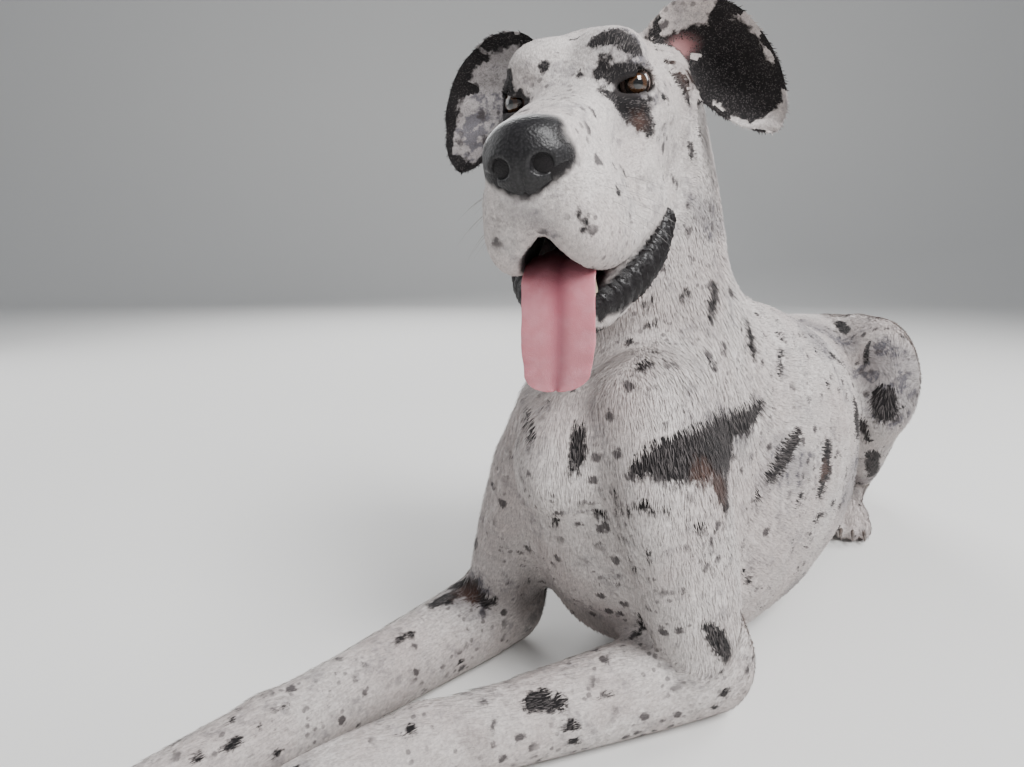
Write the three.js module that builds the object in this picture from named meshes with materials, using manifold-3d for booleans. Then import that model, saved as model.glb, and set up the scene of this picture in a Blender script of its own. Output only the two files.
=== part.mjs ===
// A great dane lying on its chest with its head up, mouth open and tongue out, life size.
// Millimetres, +Z up, the dog looks towards -Y and its left side is +X.
// The body is a set of rounded forms blended into one skin, which is then meshed and
// parted with thin cuts into head, neck, chest, belly, rump, tail and the parts of each leg.
import * as THREE from "three";
import { mergeVertices } from "three/addons/utils/BufferGeometryUtils.js";
import Module from "manifold-3d";

const wasm = await Module();
wasm.setup();

// Driving dimensions
const GAP = 0.3; // between nodes that touch
const LEAST_EDGE = 0.02;
const REACH = 3000; // half size of a cutting block, larger than the dog
const EYE_RADIUS = 13;

// Places on the dog. The frame's origin is on the floor, between the elbows.
const HEAD_AT = [34, -118, 615]; // midway between the eyes
const HEAD_TURN = 17.5; // degrees towards the dog's left
const HEAD_NOD = 12; // degrees, nose down
const HEAD_LEAN = -4.8; // degrees, left ear up

const lerp = THREE.MathUtils.lerp;
const rad = THREE.MathUtils.degToRad;

// Forms: functions of x, y, z that give the distance in millimetres to a surface.

// The rounded union of two distances, with a fillet of about the given size.
function soften(a, b, fillet) {
  const near = Math.max(fillet - Math.abs(a - b), 0) / fillet;
  return Math.min(a, b) - (near * near * fillet) / 4;
}

// The distance from a point to a box, 0 inside.
function boxDistance(box, x, y, z) {
  const dx = Math.max(box.min.x - x, x - box.max.x, 0);
  const dy = Math.max(box.min.y - y, y - box.max.y, 0);
  const dz = Math.max(box.min.z - z, z - box.max.z, 0);
  return Math.hypot(dx, dy, dz);
}

// An ellipsoid with the given half sizes, turned by angles in degrees about X, Y and Z.
function egg(centre, radii, turn = [0, 0, 0]) {
  const euler = new THREE.Euler(rad(turn[0]), rad(turn[1]), rad(turn[2]), "ZYX");
  const e = new THREE.Matrix4().makeRotationFromEuler(euler).elements;
  const [rx, ry, rz] = radii;
  const half = Math.max(rx, ry, rz);
  const middle = new THREE.Vector3(...centre);
  const form = (x, y, z) => {
    const px = x - centre[0];
    const py = y - centre[1];
    const pz = z - centre[2];
    const u = (e[0] * px + e[1] * py + e[2] * pz) / rx;
    const v = (e[4] * px + e[5] * py + e[6] * pz) / ry;
    const w = (e[8] * px + e[9] * py + e[10] * pz) / rz;
    const scaled = Math.hypot(u, v, w);
    const slope = Math.hypot(u / rx, v / ry, w / rz);
    return slope < 1e-9 ? -Math.min(rx, ry, rz) : (scaled * (scaled - 1)) / slope;
  };
  form.box = new THREE.Box3().setFromCenterAndSize(middle, new THREE.Vector3(2, 2, 2).multiplyScalar(half));
  return form;
}

// A limb along a curve. Each station is [x, y, z, half width, half height], the height being measured
// along up, as far as the limb's own direction allows. Corners above 2 make the section boxier.
function tube(stations, { up = [0, 0, 1], steps = 5, corners = 2 } = {}) {
  const curve = new THREE.CatmullRomCurve3(stations.map((s) => new THREE.Vector3(s[0], s[1], s[2])), false, "centripetal");
  const count = (stations.length - 1) * steps;
  const upward = new THREE.Vector3(...up);
  const samples = [];
  const box = new THREE.Box3();
  for (let i = 0; i <= count; i++) {
    const along = (i / count) * (stations.length - 1);
    const k = Math.min(Math.floor(along), stations.length - 2);
    const t = along - k;
    const at = curve.getPoint(i / count);
    const ahead = curve.getTangent(i / count);
    const side = new THREE.Vector3().crossVectors(upward, ahead).normalize();
    const top = new THREE.Vector3().crossVectors(ahead, side);
    const wide = lerp(stations[k][3], stations[k + 1][3], t);
    const tall = lerp(stations[k][4], stations[k + 1][4], t);
    samples.push({ at, side, top, ahead, wide, tall });
    const most = Math.max(wide, tall);
    box.expandByPoint(at.clone().addScalar(most)).expandByPoint(at.clone().addScalar(-most));
  }
  const form = (x, y, z) => {
    let best = Infinity;
    let index = 0;
    let share = 0;
    for (let i = 0; i < count; i++) {
      const a = samples[i].at;
      const b = samples[i + 1].at;
      const dx = b.x - a.x;
      const dy = b.y - a.y;
      const dz = b.z - a.z;
      const t = ((x - a.x) * dx + (y - a.y) * dy + (z - a.z) * dz) / (dx * dx + dy * dy + dz * dz);
      const c = Math.min(Math.max(t, 0), 1);
      const gap = (x - a.x - c * dx) ** 2 + (y - a.y - c * dy) ** 2 + (z - a.z - c * dz) ** 2;
      if (gap < best) {
        best = gap;
        index = i;
        share = c;
      }
    }
    const a = samples[index];
    const b = samples[index + 1];
    const px = x - lerp(a.at.x, b.at.x, share);
    const py = y - lerp(a.at.y, b.at.y, share);
    const pz = z - lerp(a.at.z, b.at.z, share);
    const wide = lerp(a.wide, b.wide, share);
    const tall = lerp(a.tall, b.tall, share);
    const across = (v) => px * lerp(a[v].x, b[v].x, share) + py * lerp(a[v].y, b[v].y, share) + pz * lerp(a[v].z, b[v].z, share);
    const u = Math.abs(across("side")) / wide;
    const v = Math.abs(across("top")) / tall;
    const w = Math.abs(across("ahead")) / Math.min(wide, tall);
    const from = Math.sqrt(best);
    const scaled = (u ** corners + v ** corners + w ** corners) ** (1 / corners);
    return scaled < 1e-6 ? -Math.min(wide, tall) : from * (1 - 1 / scaled);
  };
  form.box = box;
  return form;
}

// Several forms as one, with fillets between them.
function fuse(fillet, ...forms) {
  const form = (x, y, z) => {
    let d = Infinity;
    for (const f of forms) {
      const away = f.box ? boxDistance(f.box, x, y, z) : 0;
      if (away > fillet + 60) d = Math.min(d, away);
      else d = soften(d, f(x, y, z), fillet);
    }
    return d;
  };
  form.box = forms.reduce((box, f) => box.union(f.box), new THREE.Box3());
  return form;
}

// A form measured in a frame of its own, such as the head's.
function placed(form, matrix) {
  const e = matrix.clone().invert().elements;
  const moved = (x, y, z) =>
    form(
      e[0] * x + e[4] * y + e[8] * z + e[12],
      e[1] * x + e[5] * y + e[9] * z + e[13],
      e[2] * x + e[6] * y + e[10] * z + e[14],
    );
  moved.box = form.box.clone().applyMatrix4(matrix);
  return moved;
}

// The same shape on both sides of the middle plane x = 0, from the one on the left.
function pair(make) {
  return [make(1), make(-1)];
}

// Meshing and cutting

// The corners of a cell as offsets, its twelve edges as pairs of corners, and its six faces as
// lists of edges. Edges are numbered by their lower corner and their axis.
const CORNERS = [0, 1, 2, 3, 4, 5, 6, 7].map((c) => [c & 1, (c >> 1) & 1, c >> 2]);
const EDGES = [];
const edgeNumber = new Map();
for (let low = 0; low < 8; low++)
  for (const axis of [0, 1, 2]) {
    if (low & (1 << axis)) continue;
    edgeNumber.set(3 * low + axis, EDGES.length);
    EDGES.push([low, low | (1 << axis)]);
  }
const FACES = [0, 1, 2].flatMap((axis) =>
  [0, 1].map((side) =>
    EDGES.flatMap((edge, n) => (edge.every((c) => ((c >> axis) & 1) === side) ? [n] : [])),
  ),
);

// Groups the crossed edges of a cell into the separate sheets of surface that pass through it.
function sheets(values) {
  const inside = values.map((v) => v < 0);
  const crossed = EDGES.map(([a, b]) => inside[a] !== inside[b]);
  const sheet = EDGES.map((_, n) => n);
  const join = (m, n) => {
    const [from, to] = [sheet[m], sheet[n]];
    for (let i = 0; i < sheet.length; i++) if (sheet[i] === from) sheet[i] = to;
  };
  const inner = (n) => (inside[EDGES[n][0]] ? EDGES[n][0] : EDGES[n][1]);
  for (const face of FACES) {
    const cut = face.filter((n) => crossed[n]);
    if (cut.length === 2) join(cut[0], cut[1]);
    if (cut.length === 4)
      for (const m of cut) for (const n of cut) if (m !== n && inner(m) === inner(n)) join(m, n);
  }
  return { crossed, sheet };
}

// A closed mesh of a form's surface inside a box, on a grid of cells, one point for each sheet of the
// surface in a cell, moved onto the surface along its slope. Cells are as long as cell gives for each axis.
function skin(form, cell, box = form.box) {
  const low = box.min.clone().addScaledVector(cell, -2);
  const size = box.max.clone().addScaledVector(cell, 2).sub(low);
  const [nx, ny, nz] = [size.x / cell.x, size.y / cell.y, size.z / cell.z].map((s) => Math.ceil(s) + 1);
  const at = (i, j, k) => (k * ny + j) * nx + i;
  const field = new Float32Array(nx * ny * nz);
  for (let k = 0; k < nz; k++)
    for (let j = 0; j < ny; j++)
      for (let i = 0; i < nx; i++) {
        field[at(i, j, k)] = form(low.x + i * cell.x, low.y + j * cell.y, low.z + k * cell.z);
      }
  const points = [];
  const pointOf = new Map();
  for (let k = 0; k < nz - 1; k++)
    for (let j = 0; j < ny - 1; j++)
      for (let i = 0; i < nx - 1; i++) {
        const values = CORNERS.map(([a, b, c]) => field[at(i + a, j + b, k + c)]);
        if (values.every((v) => v < 0) || values.every((v) => v >= 0)) continue;
        const { crossed, sheet } = sheets(values);
        for (const name of new Set(sheet.filter((_, n) => crossed[n]))) {
          const sum = new THREE.Vector3();
          let count = 0;
          EDGES.forEach(([a, b], n) => {
            if (!crossed[n] || sheet[n] !== name) return;
            const t = values[a] / (values[a] - values[b]);
            const from = new THREE.Vector3(...CORNERS[a]);
            sum.add(from.lerp(new THREE.Vector3(...CORNERS[b]), t));
            count++;
            pointOf.set(12 * at(i, j, k) + n, points.length / 3);
          });
          const p = new THREE.Vector3(i, j, k).addScaledVector(sum, 1 / count).multiply(cell).add(low);
          settle(p, form, Math.min(cell.x, cell.y, cell.z));
          points.push(p.x, p.y, p.z);
        }
      }
  const index = [];
  const gap = (m, n) => Math.hypot(...[0, 1, 2].map((s) => points[3 * m + s] - points[3 * n + s]));
  for (let k = 1; k < nz - 1; k++)
    for (let j = 1; j < ny - 1; j++)
      for (let i = 1; i < nx - 1; i++)
        for (const axis of [0, 1, 2]) {
          const here = [i, j, k];
          const next = [...here];
          next[axis]++;
          const inside = field[at(...here)] < 0;
          if (inside === field[at(...next)] < 0) continue;
          const [u, v] = [(axis + 1) % 3, (axis + 2) % 3];
          const q = [[1, 1], [0, 1], [0, 0], [1, 0]].map(([a, b]) => {
            const spot = [...here];
            spot[u] -= a;
            spot[v] -= b;
            const corner = (a << u) | (b << v);
            return pointOf.get(12 * at(...spot) + edgeNumber.get(3 * corner + axis));
          });
          if (!inside) q.reverse();
          if (gap(q[0], q[2]) < gap(q[1], q[3])) index.push(q[0], q[1], q[2], q[0], q[2], q[3]);
          else index.push(q[1], q[2], q[3], q[1], q[3], q[0]);
        }
  const geometry = new THREE.BufferGeometry();
  geometry.setAttribute("position", new THREE.Float32BufferAttribute(points, 3));
  geometry.setIndex(index);
  return geometry;
}

// Moves a point onto a form's surface, by less than a cell.
function settle(p, form, cell) {
  const step = cell / 20;
  for (let round = 0; round < 3; round++) {
    const d = form(p.x, p.y, p.z);
    const slope = new THREE.Vector3(
      form(p.x + step, p.y, p.z) - form(p.x - step, p.y, p.z),
      form(p.x, p.y + step, p.z) - form(p.x, p.y - step, p.z),
      form(p.x, p.y, p.z + step) - form(p.x, p.y, p.z - step),
    ).divideScalar(2 * step);
    const steep = slope.lengthSq();
    if (steep < 0.01) return;
    const move = THREE.MathUtils.clamp(-d / steep, -cell / 3, cell / 3);
    p.addScaledVector(slope, move);
  }
}

// A geometry as a solid that can be joined and cut.
function solid(geometry, matrix = new THREE.Matrix4()) {
  const bare = geometry.clone().applyMatrix4(matrix);
  bare.deleteAttribute("normal");
  bare.deleteAttribute("uv");
  const merged = mergeVertices(bare, 1e-3);
  const triVerts = new Uint32Array(merged.index.array);
  const vertProperties = new Float32Array(merged.attributes.position.array);
  return new wasm.Manifold(new wasm.Mesh({ numProp: 3, vertProperties, triVerts }));
}

// The body's largest piece, without loose scraps.
function largest(body) {
  return body.decompose().sort((a, b) => b.volume() - a.volume())[0];
}

// A block that fills the side of a plane which the normal points to, moved along it by the shift.
function block({ at, facing }, shift) {
  const normal = new THREE.Vector3(...facing).normalize();
  const turn = new THREE.Quaternion().setFromUnitVectors(new THREE.Vector3(0, 0, 1), normal);
  const centre = new THREE.Vector3(...at).addScaledVector(normal, REACH + shift);
  const matrix = new THREE.Matrix4().compose(centre, turn, new THREE.Vector3(1, 1, 1));
  return solid(new THREE.BoxGeometry(2 * REACH, 2 * REACH, 2 * REACH), matrix);
}

// What lies inside all the planes of a region, with half a gap left on each.
function within(body, planes) {
  return planes.reduce((left, plane) => left.intersect(block(plane, GAP / 2)), body);
}

// What a region's planes leave over, with half a gap left on each.
function without(body, planes) {
  const region = planes.slice(1).reduce((a, p) => a.intersect(block(p, -GAP / 2)), block(planes[0], -GAP / 2));
  return body.subtract(region);
}

// Trunk, neck and tail

// [x, y, z, half width, half height] from the front of the chest to the buttocks.
const TRUNK = [
  [20, -92, 300, 50, 66],
  [20, -40, 280, 82, 130],
  [20, 50, 250, 120, 198],
  [22, 150, 220, 146, 224],
  [30, 270, 207, 156, 212],
  [36, 390, 200, 148, 188],
  [34, 490, 208, 126, 156],
  [26, 590, 215, 110, 149],
  [16, 690, 212, 106, 152],
  [8, 760, 190, 92, 130],
  [2, 815, 165, 66, 88],
];
// The same from the withers to the back of the head.
const NECK = [
  [22, 76, 345, 82, 112],
  [27, 58, 440, 75, 110],
  [27, 38, 520, 70, 99],
  [22, 20, 600, 65, 82],
];
const TAIL = [
  [0, 790, 205, 34, 36],
  [0, 860, 150, 30, 32],
  [-4, 915, 75, 25, 27],
  [-22, 970, 28, 20, 22],
  [-70, 1030, 17, 17, 17],
  [-150, 1065, 14, 14, 14],
  [-240, 1060, 11, 11, 11],
  [-320, 1020, 8, 8, 8],
];

const trunk = fuse(
  60,
  tube(TRUNK, { corners: 2.4 }),
  tube(NECK, { up: [0, 1, 0] }),
  ...pair((s) => egg([20 + s * 64, 66, 332], [38, 76, 108], [18, 0, 0])),
);

// Legs. Each station is [x, y, z, half width, half height].
const FORELEGS = {
  left: {
    upper: [
      [86, -50, 350, 48, 78],
      [102, -55, 280, 54, 76],
      [114, -34, 200, 48, 68],
      [121, -8, 120, 43, 62],
      [124, 10, 66, 42, 58],
    ],
    lower: [
      [128, 22, 56, 46, 56],
      [98, -28, 52, 44, 53],
      [50, -105, 46, 40, 46],
      [0, -185, 42, 35, 41],
      [-38, -241, 39, 35, 38],
    ],
    hand: [
      [-38, -241, 39, 35, 38],
      [-62, -292, 36, 37, 35],
      [-80, -345, 30, 42, 32],
      [-88, -385, 24, 40, 26],
    ],
  },
  right: {
    upper: [
      [-32, -30, 325, 36, 62],
      [-48, -40, 265, 44, 66],
      [-72, -36, 200, 44, 62],
      [-102, -24, 120, 41, 58],
      [-122, -12, 66, 41, 57],
    ],
    lower: [
      [-126, 0, 56, 46, 56],
      [-131, -52, 52, 44, 53],
      [-142, -140, 47, 40, 46],
      [-154, -235, 42, 35, 41],
      [-165, -318, 39, 35, 38],
    ],
    hand: [
      [-165, -318, 39, 35, 38],
      [-174, -372, 36, 37, 35],
      [-181, -428, 30, 42, 32],
      [-185, -468, 24, 40, 26],
    ],
  },
};
const HIND_LEGS = {
  left: {
    thigh: [
      [66, 735, 250, 74, 108],
      [118, 660, 262, 70, 112],
      [168, 575, 278, 56, 98],
      [190, 522, 284, 44, 80],
    ],
    shank: [
      [176, 520, 262, 42, 62],
      [160, 590, 200, 40, 58],
      [134, 690, 118, 34, 44],
      [112, 775, 62, 28, 34],
    ],
    foot: [
      [102, 810, 60, 26, 32],
      [110, 755, 36, 24, 28],
      [118, 685, 32, 26, 28],
      [130, 640, 26, 34, 27],
      [136, 612, 22, 34, 23],
    ],
  },
  right: {
    thigh: [
      [-66, 735, 236, 74, 108],
      [-118, 650, 222, 72, 110],
      [-164, 565, 200, 56, 96],
      [-182, 512, 190, 44, 80],
    ],
    shank: [
      [-172, 512, 175, 42, 62],
      [-162, 590, 140, 40, 56],
      [-142, 690, 92, 34, 44],
      [-126, 775, 58, 28, 34],
    ],
    foot: [
      [-126, 795, 60, 26, 32],
      [-134, 735, 36, 24, 28],
      [-152, 660, 32, 26, 28],
      [-168, 605, 26, 34, 27],
      [-175, 575, 22, 34, 23],
    ],
  },
};
const TOE = { wide: 15, long: 31, high: 19 };
const CLAW = { long: 20, radius: 4.5 };

// Where a paw's toes sit: the end of its tube, its heading and the four places across it.
function toePlaces(stations) {
  const end = new THREE.Vector3(...stations.at(-1).slice(0, 3));
  const before = new THREE.Vector3(...stations.at(-2).slice(0, 3));
  const ahead = end.clone().sub(before).setZ(0).normalize();
  const side = new THREE.Vector3(0, 0, 1).cross(ahead);
  const half = stations.at(-1)[3];
  return [-1, -1 / 3, 1 / 3, 1].map((share) => {
    const inner = 1 - Math.abs(share);
    const at = end.clone().addScaledVector(side, share * (half - TOE.wide + 3));
    at.addScaledVector(ahead, 4 + 22 * inner).setZ(TOE.high - 1 + 5 * inner);
    const spread = share * 8;
    return { at, ahead: ahead.clone().applyAxisAngle(new THREE.Vector3(0, 0, 1), rad(spread)) };
  });
}

function toes(stations) {
  const each = toePlaces(stations).map(({ at, ahead }) => {
    const turn = THREE.MathUtils.radToDeg(Math.atan2(-ahead.x, ahead.y));
    return egg(at.toArray(), [TOE.wide, TOE.long, TOE.high], [0, 0, turn]);
  });
  return fuse(5, ...each);
}

// The claws of a paw, each a cone that starts inside its toe.
function claws(stations) {
  return toePlaces(stations).map(({ at, ahead }) => {
    const cone = new THREE.ConeGeometry(CLAW.radius, CLAW.long, 7);
    const axis = ahead.clone().setZ(-0.45).normalize();
    const turn = new THREE.Quaternion().setFromUnitVectors(new THREE.Vector3(0, 1, 0), axis);
    const centre = at.clone().addScaledVector(ahead, TOE.long).add(new THREE.Vector3(0, 0, 1));
    return solid(cone, new THREE.Matrix4().compose(centre, turn, new THREE.Vector3(1, 1, 1)));
  });
}

// Head, in a frame of its own: x to the dog's left, y back, z up, 0 midway between the eyes.

const HEAD = new THREE.Matrix4()
  .makeRotationFromEuler(new THREE.Euler(rad(HEAD_NOD), rad(HEAD_LEAN), rad(HEAD_TURN), "ZXY"))
  .setPosition(...HEAD_AT);

const EYE = { x: 50, y: 6, z: 0, outward: 16 };
const LID = { radius: 16.5, halfWidth: 14.5, halfHeight: 7 };

const skull = fuse(
  24,
  egg([0, 74, -6], [66, 96, 60]),
  tube([[0, 40, -36, 48, 44], [0, -50, -38, 41, 40], [0, -124, -44, 37, 35]], { corners: 3 }),
  ...pair((s) => egg([s * 33, 16, 22], [28, 30, 25])),
  ...pair((s) => egg([s * 50, 45, -24], [25, 58, 34])),
  ...pair((s) => egg([s * 46, 80, -58], [26, 52, 50])),
);
const flews = fuse(
  16,
  ...pair((s) => egg([s * 32, -86, -84], [23, 56, 42])),
  ...pair((s) =>
    tube([
      [s * 10, -138, -74, 14, 14],
      [s * 26, -126, -96, 15, 18],
      [s * 38, -92, -107, 15, 20],
      [s * 50, -42, -104, 14, 19],
      [s * 60, 8, -96, 12, 16],
    ]),
  ),
);
const mouth = egg([0, -64, -128], [27, 100, 42]);
const upperHead = fuse(18, skull, flews);
const headForm = (x, y, z) => Math.max(upperHead(x, y, z), -mouth(x, y, z));
headForm.box = upperHead.box;

const JAW_LINE = [
  [54, 74, -80, 15, 32],
  [50, 10, -118, 15, 27],
  [38, -50, -148, 15, 23],
  [20, -86, -162, 14, 19],
  [0, -97, -165, 14, 17],
];
const LIP_LINE = [
  [66, 20, -114, 7, 10],
  [61, -14, -132, 9, 14],
  [48, -54, -148, 9, 15],
  [27, -86, -157, 9, 11],
  [0, -101, -158, 8, 9],
];
const mirrored = (stations, s) => stations.map(([x, ...rest]) => [s * x, ...rest]);
const jaw = fuse(
  14,
  ...pair((s) => tube(mirrored(JAW_LINE, s))),
  ...pair((s) => tube(mirrored(LIP_LINE, s))),
  egg([0, -16, -152], [44, 86, 18], [16, 0, 0]),
);
const gullet = egg([0, 78, -92], [50, 62, 44]);

const noseForm = fuse(8, egg([0, -140, -38], [33, 24, 27]), egg([0, -134, -22], [25, 24, 13]), egg([0, -142, -54], [14, 14, 16]));
const nostrils = fuse(
  3,
  ...pair((s) => egg([s * 16, -164, -40], [9, 12, 8])),
  ...pair((s) => egg([s * 27, -154, -46], [8, 12, 4], [0, -s * 20, 0])),
);

const grow = (form, by) => {
  const grown = (x, y, z) => form(x, y, z) - by;
  grown.box = form.box;
  return grown;
};

const upright = { up: [0, 1, 0] };
const legForms = {};
for (const side of ["left", "right"]) {
  const fore = FORELEGS[side];
  const hind = HIND_LEGS[side];
  legForms[side] = {
    upper: tube(fore.upper, upright),
    lower: tube(fore.lower),
    hand: fuse(10, tube(fore.hand), toes(fore.hand)),
    thigh: tube(hind.thigh),
    shank: tube(hind.shank),
    foot: fuse(10, tube(hind.foot), toes(hind.foot)),
  };
}

const bothSides = ["left", "right"].map((side) => legForms[side]);
const forelegs = bothSides.map((f) => fuse(16, f.upper, f.lower));
const hindLegs = bothSides.map((f) => fuse(14, f.thigh, f.shank));
const body = fuse(34, trunk, ...forelegs, ...hindLegs);

// Ears, tongue, lids and teeth, in the head's frame

// [x, y, z, half width, cup depth, then the direction of the width], along the middle of the left ear
// from its root to its tip. The cup opens forwards.
const EAR = [
  [52, 88, 20, 28, 2, -0.35, 0.75, 0.55],
  [70, 95, 27, 32, 11, -0.2, 0.45, 0.87],
  [89, 101, 26, 36, 15, 0.1, 0.15, 0.98],
  [107, 105, 16, 38, 14, 0.42, -0.05, 0.9],
  [122, 106, 0, 36, 12, 0.68, -0.1, 0.72],
  [136, 104, -20, 31, 8, 0.84, -0.1, 0.52],
  [149, 101, -40, 21, 4, 0.93, -0.1, 0.35],
  [158, 98, -58, 8, 1, 0.97, -0.1, 0.2],
];
const EAR_THICK = 6;
const EAR_ACROSS = 9;
// [x, y, z, half width, half thickness], along the tongue from inside the mouth to its tip.
const TONGUE = [
  [0, -20, -126, 24, 6],
  [1, -60, -124, 27, 6],
  [2, -96, -121, 29, 5.5],
  [4, -118, -128, 30, 5],
  [3, -126, -150, 30, 4.5],
  [0, -128, -176, 31, 4.5],
  [-4, -127, -200, 28, 4.5],
  [-8, -126, -216, 15, 3.5],
];
const TONGUE_AROUND = 16;
const INCISORS = [
  [13, -97, -150],
  [5, -101, -150],
];

// A closed mesh through rings of points, all with the same number of points.
function loft(rings) {
  const across = rings[0].length;
  const points = rings.flat();
  const index = [];
  for (let i = 0; i < rings.length - 1; i++)
    for (let j = 0; j < across; j++) {
      const a = i * across + j;
      const b = i * across + ((j + 1) % across);
      index.push(a, b, b + across, a, b + across, a + across);
    }
  for (const [ring, flip] of [[0, true], [rings.length - 1, false]]) {
    const middle = new THREE.Vector3();
    for (const p of rings[ring]) middle.addScaledVector(p, 1 / across);
    points.push(middle);
    for (let j = 0; j < across; j++) {
      const a = ring * across + j;
      const b = ring * across + ((j + 1) % across);
      index.push(...(flip ? [b, a, points.length - 1] : [a, b, points.length - 1]));
    }
  }
  const geometry = new THREE.BufferGeometry().setFromPoints(points);
  geometry.setIndex(index);
  const made = solid(geometry);
  if (made.volume() < 0) geometry.setIndex(index.reverse());
  return geometry;
}

// The left ear for s = 1, the right for s = -1: rings round a cupped sheet.
function earSkin(s) {
  const rings = EAR.map(([x, y, z, half, cup, wx, wy, wz], i) => {
    const before = EAR[Math.max(i - 1, 0)];
    const after = EAR[Math.min(i + 1, EAR.length - 1)];
    const along = new THREE.Vector3(after[0] - before[0], after[1] - before[1], after[2] - before[2]).normalize();
    const wide = new THREE.Vector3(wx, wy, wz).normalize();
    const back = new THREE.Vector3().crossVectors(along, wide).normalize();
    if (back.y < 0) back.negate();
    const ring = [];
    for (const face of [1, -1])
      for (let j = 0; j < EAR_ACROSS; j++) {
        const v = face * lerp(-1, 1, j / (EAR_ACROSS - 1));
        const thick = EAR_THICK * (0.35 + 0.65 * (1 - v * v));
        const p = new THREE.Vector3(x, y, z).addScaledVector(wide, v * half);
        p.addScaledVector(back, cup * (1 - 2 * v * v) + (face * thick) / 2);
        ring.push(new THREE.Vector3(s * p.x, p.y, p.z));
      }
    return ring;
  });
  return loft(rings);
}

// The tongue: rounded flat rings with a groove along the top.
function tongueSkin() {
  const rings = TONGUE.map(([x, y, z, half, thick], i) => {
    const before = TONGUE[Math.max(i - 1, 0)];
    const after = TONGUE[Math.min(i + 1, TONGUE.length - 1)];
    const along = new THREE.Vector3(0, after[1] - before[1], after[2] - before[2]).normalize();
    const top = new THREE.Vector3(1, 0, 0).cross(along).normalize().negate();
    const ring = [];
    for (let j = 0; j < TONGUE_AROUND; j++) {
      const turn = (j / TONGUE_AROUND) * 2 * Math.PI;
      const u = Math.cos(turn);
      const groove = Math.sin(turn) > 0 ? 2.5 * Math.exp(-((u * 4) ** 2)) : 0;
      const p = new THREE.Vector3(x + half * u, y, z);
      p.addScaledVector(top, thick * Math.sin(turn) - groove + 3 * u * u);
      ring.push(p);
    }
    return ring;
  });
  return loft(rings);
}

// A hollow cap over an eye with the slit between the lids cut out of it.
function lids(at) {
  const cap = solid(new THREE.SphereGeometry(LID.radius, 14, 9), at);
  const slit = new THREE.SphereGeometry(1, 12, 8);
  slit.scale(LID.halfWidth, LID.radius, LID.halfHeight).translate(0, -LID.radius, 0);
  return cap.subtract(solid(slit, at));
}

// A tooth that points up (1) or down (-1) from the middle of its root.
function fang(at, long, radius, way) {
  const cone = new THREE.ConeGeometry(radius, long, 7);
  if (way < 0) cone.rotateX(-Math.PI / 2);
  else cone.rotateX(Math.PI / 2);
  return solid(cone, new THREE.Matrix4().makeTranslation(...at));
}

// Nodes

const group = new THREE.Group();
const FLOOR = { at: [0, 0, 0], facing: [0, 0, 1] };

// Adds a node from a solid, in its own material. Points closer than the least edge become one.
function add(name, made, color) {
  const { vertProperties, triVerts, numProp } = largest(made).getMesh();
  const places = new Float32Array((vertProperties.length / numProp) * 3);
  for (let i = 0; i < places.length / 3; i++) {
    places.set(vertProperties.subarray(i * numProp, i * numProp + 3), 3 * i);
  }
  const rough = new THREE.BufferGeometry();
  rough.setAttribute("position", new THREE.BufferAttribute(places, 3));
  rough.setIndex(new THREE.BufferAttribute(new Uint32Array(triVerts), 1));
  const geometry = mergeVertices(rough, LEAST_EDGE);
  const corners = geometry.index.array;
  const kept = [];
  for (let i = 0; i < corners.length; i += 3) {
    const [a, b, c] = corners.slice(i, i + 3);
    if (a !== b && b !== c && c !== a) kept.push(a, b, c);
  }
  geometry.setIndex(kept);
  const mesh = new THREE.Mesh(geometry, new THREE.MeshStandardMaterial({ color, roughness: 0.8 }));
  mesh.name = name;
  group.add(mesh);
}

// A form's mesh inside the box of some stations, as a solid above the floor.
function fleshSolid(form, stations, cell, margin = 70) {
  const box = new THREE.Box3();
  for (const s of stations) box.expandByPoint(new THREE.Vector3(...s.slice(0, 3)));
  box.expandByScalar(margin);
  const inside = (x, y, z) => Math.max(form(x, y, z), boxDepth(box, x, y, z));
  return solid(skin(inside, new THREE.Vector3(...cell), box)).intersect(block(FLOOR, 0));
}

// How far a point lies outside a box, negative inside.
function boxDepth(box, x, y, z) {
  return Math.max(box.min.x - x, x - box.max.x, box.min.y - y, y - box.max.y, box.min.z - z, z - box.max.z);
}

const COAT = 0xd8d2cc;
const opposite = ({ at, facing }) => ({ at, facing: facing.map((v) => -v) });
const heading = (a, b) => new THREE.Vector3(...b.slice(0, 3)).sub(new THREE.Vector3(...a.slice(0, 3))).normalize();
const across = (stations, joint, next) => ({
  at: joint.slice(0, 3),
  facing: heading(stations.at(-2), joint).add(heading(next[0], next[1])).normalize().toArray(),
});

const NECK_BASE = { at: [16, 30, 400], facing: [0, -0.4, 0.92] };
const BELLY_FRONT = { at: [0, 230, 200], facing: [0, 1, 0] };
const RUMP_FRONT = { at: [0, 560, 200], facing: [0, 1, 0] };
const TAIL_ROOT = { at: [0, 836, 165], facing: [0, 0.85, -0.53] };
const SWELL = 7; // how far a limb's cut lies outside the limb

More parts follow.
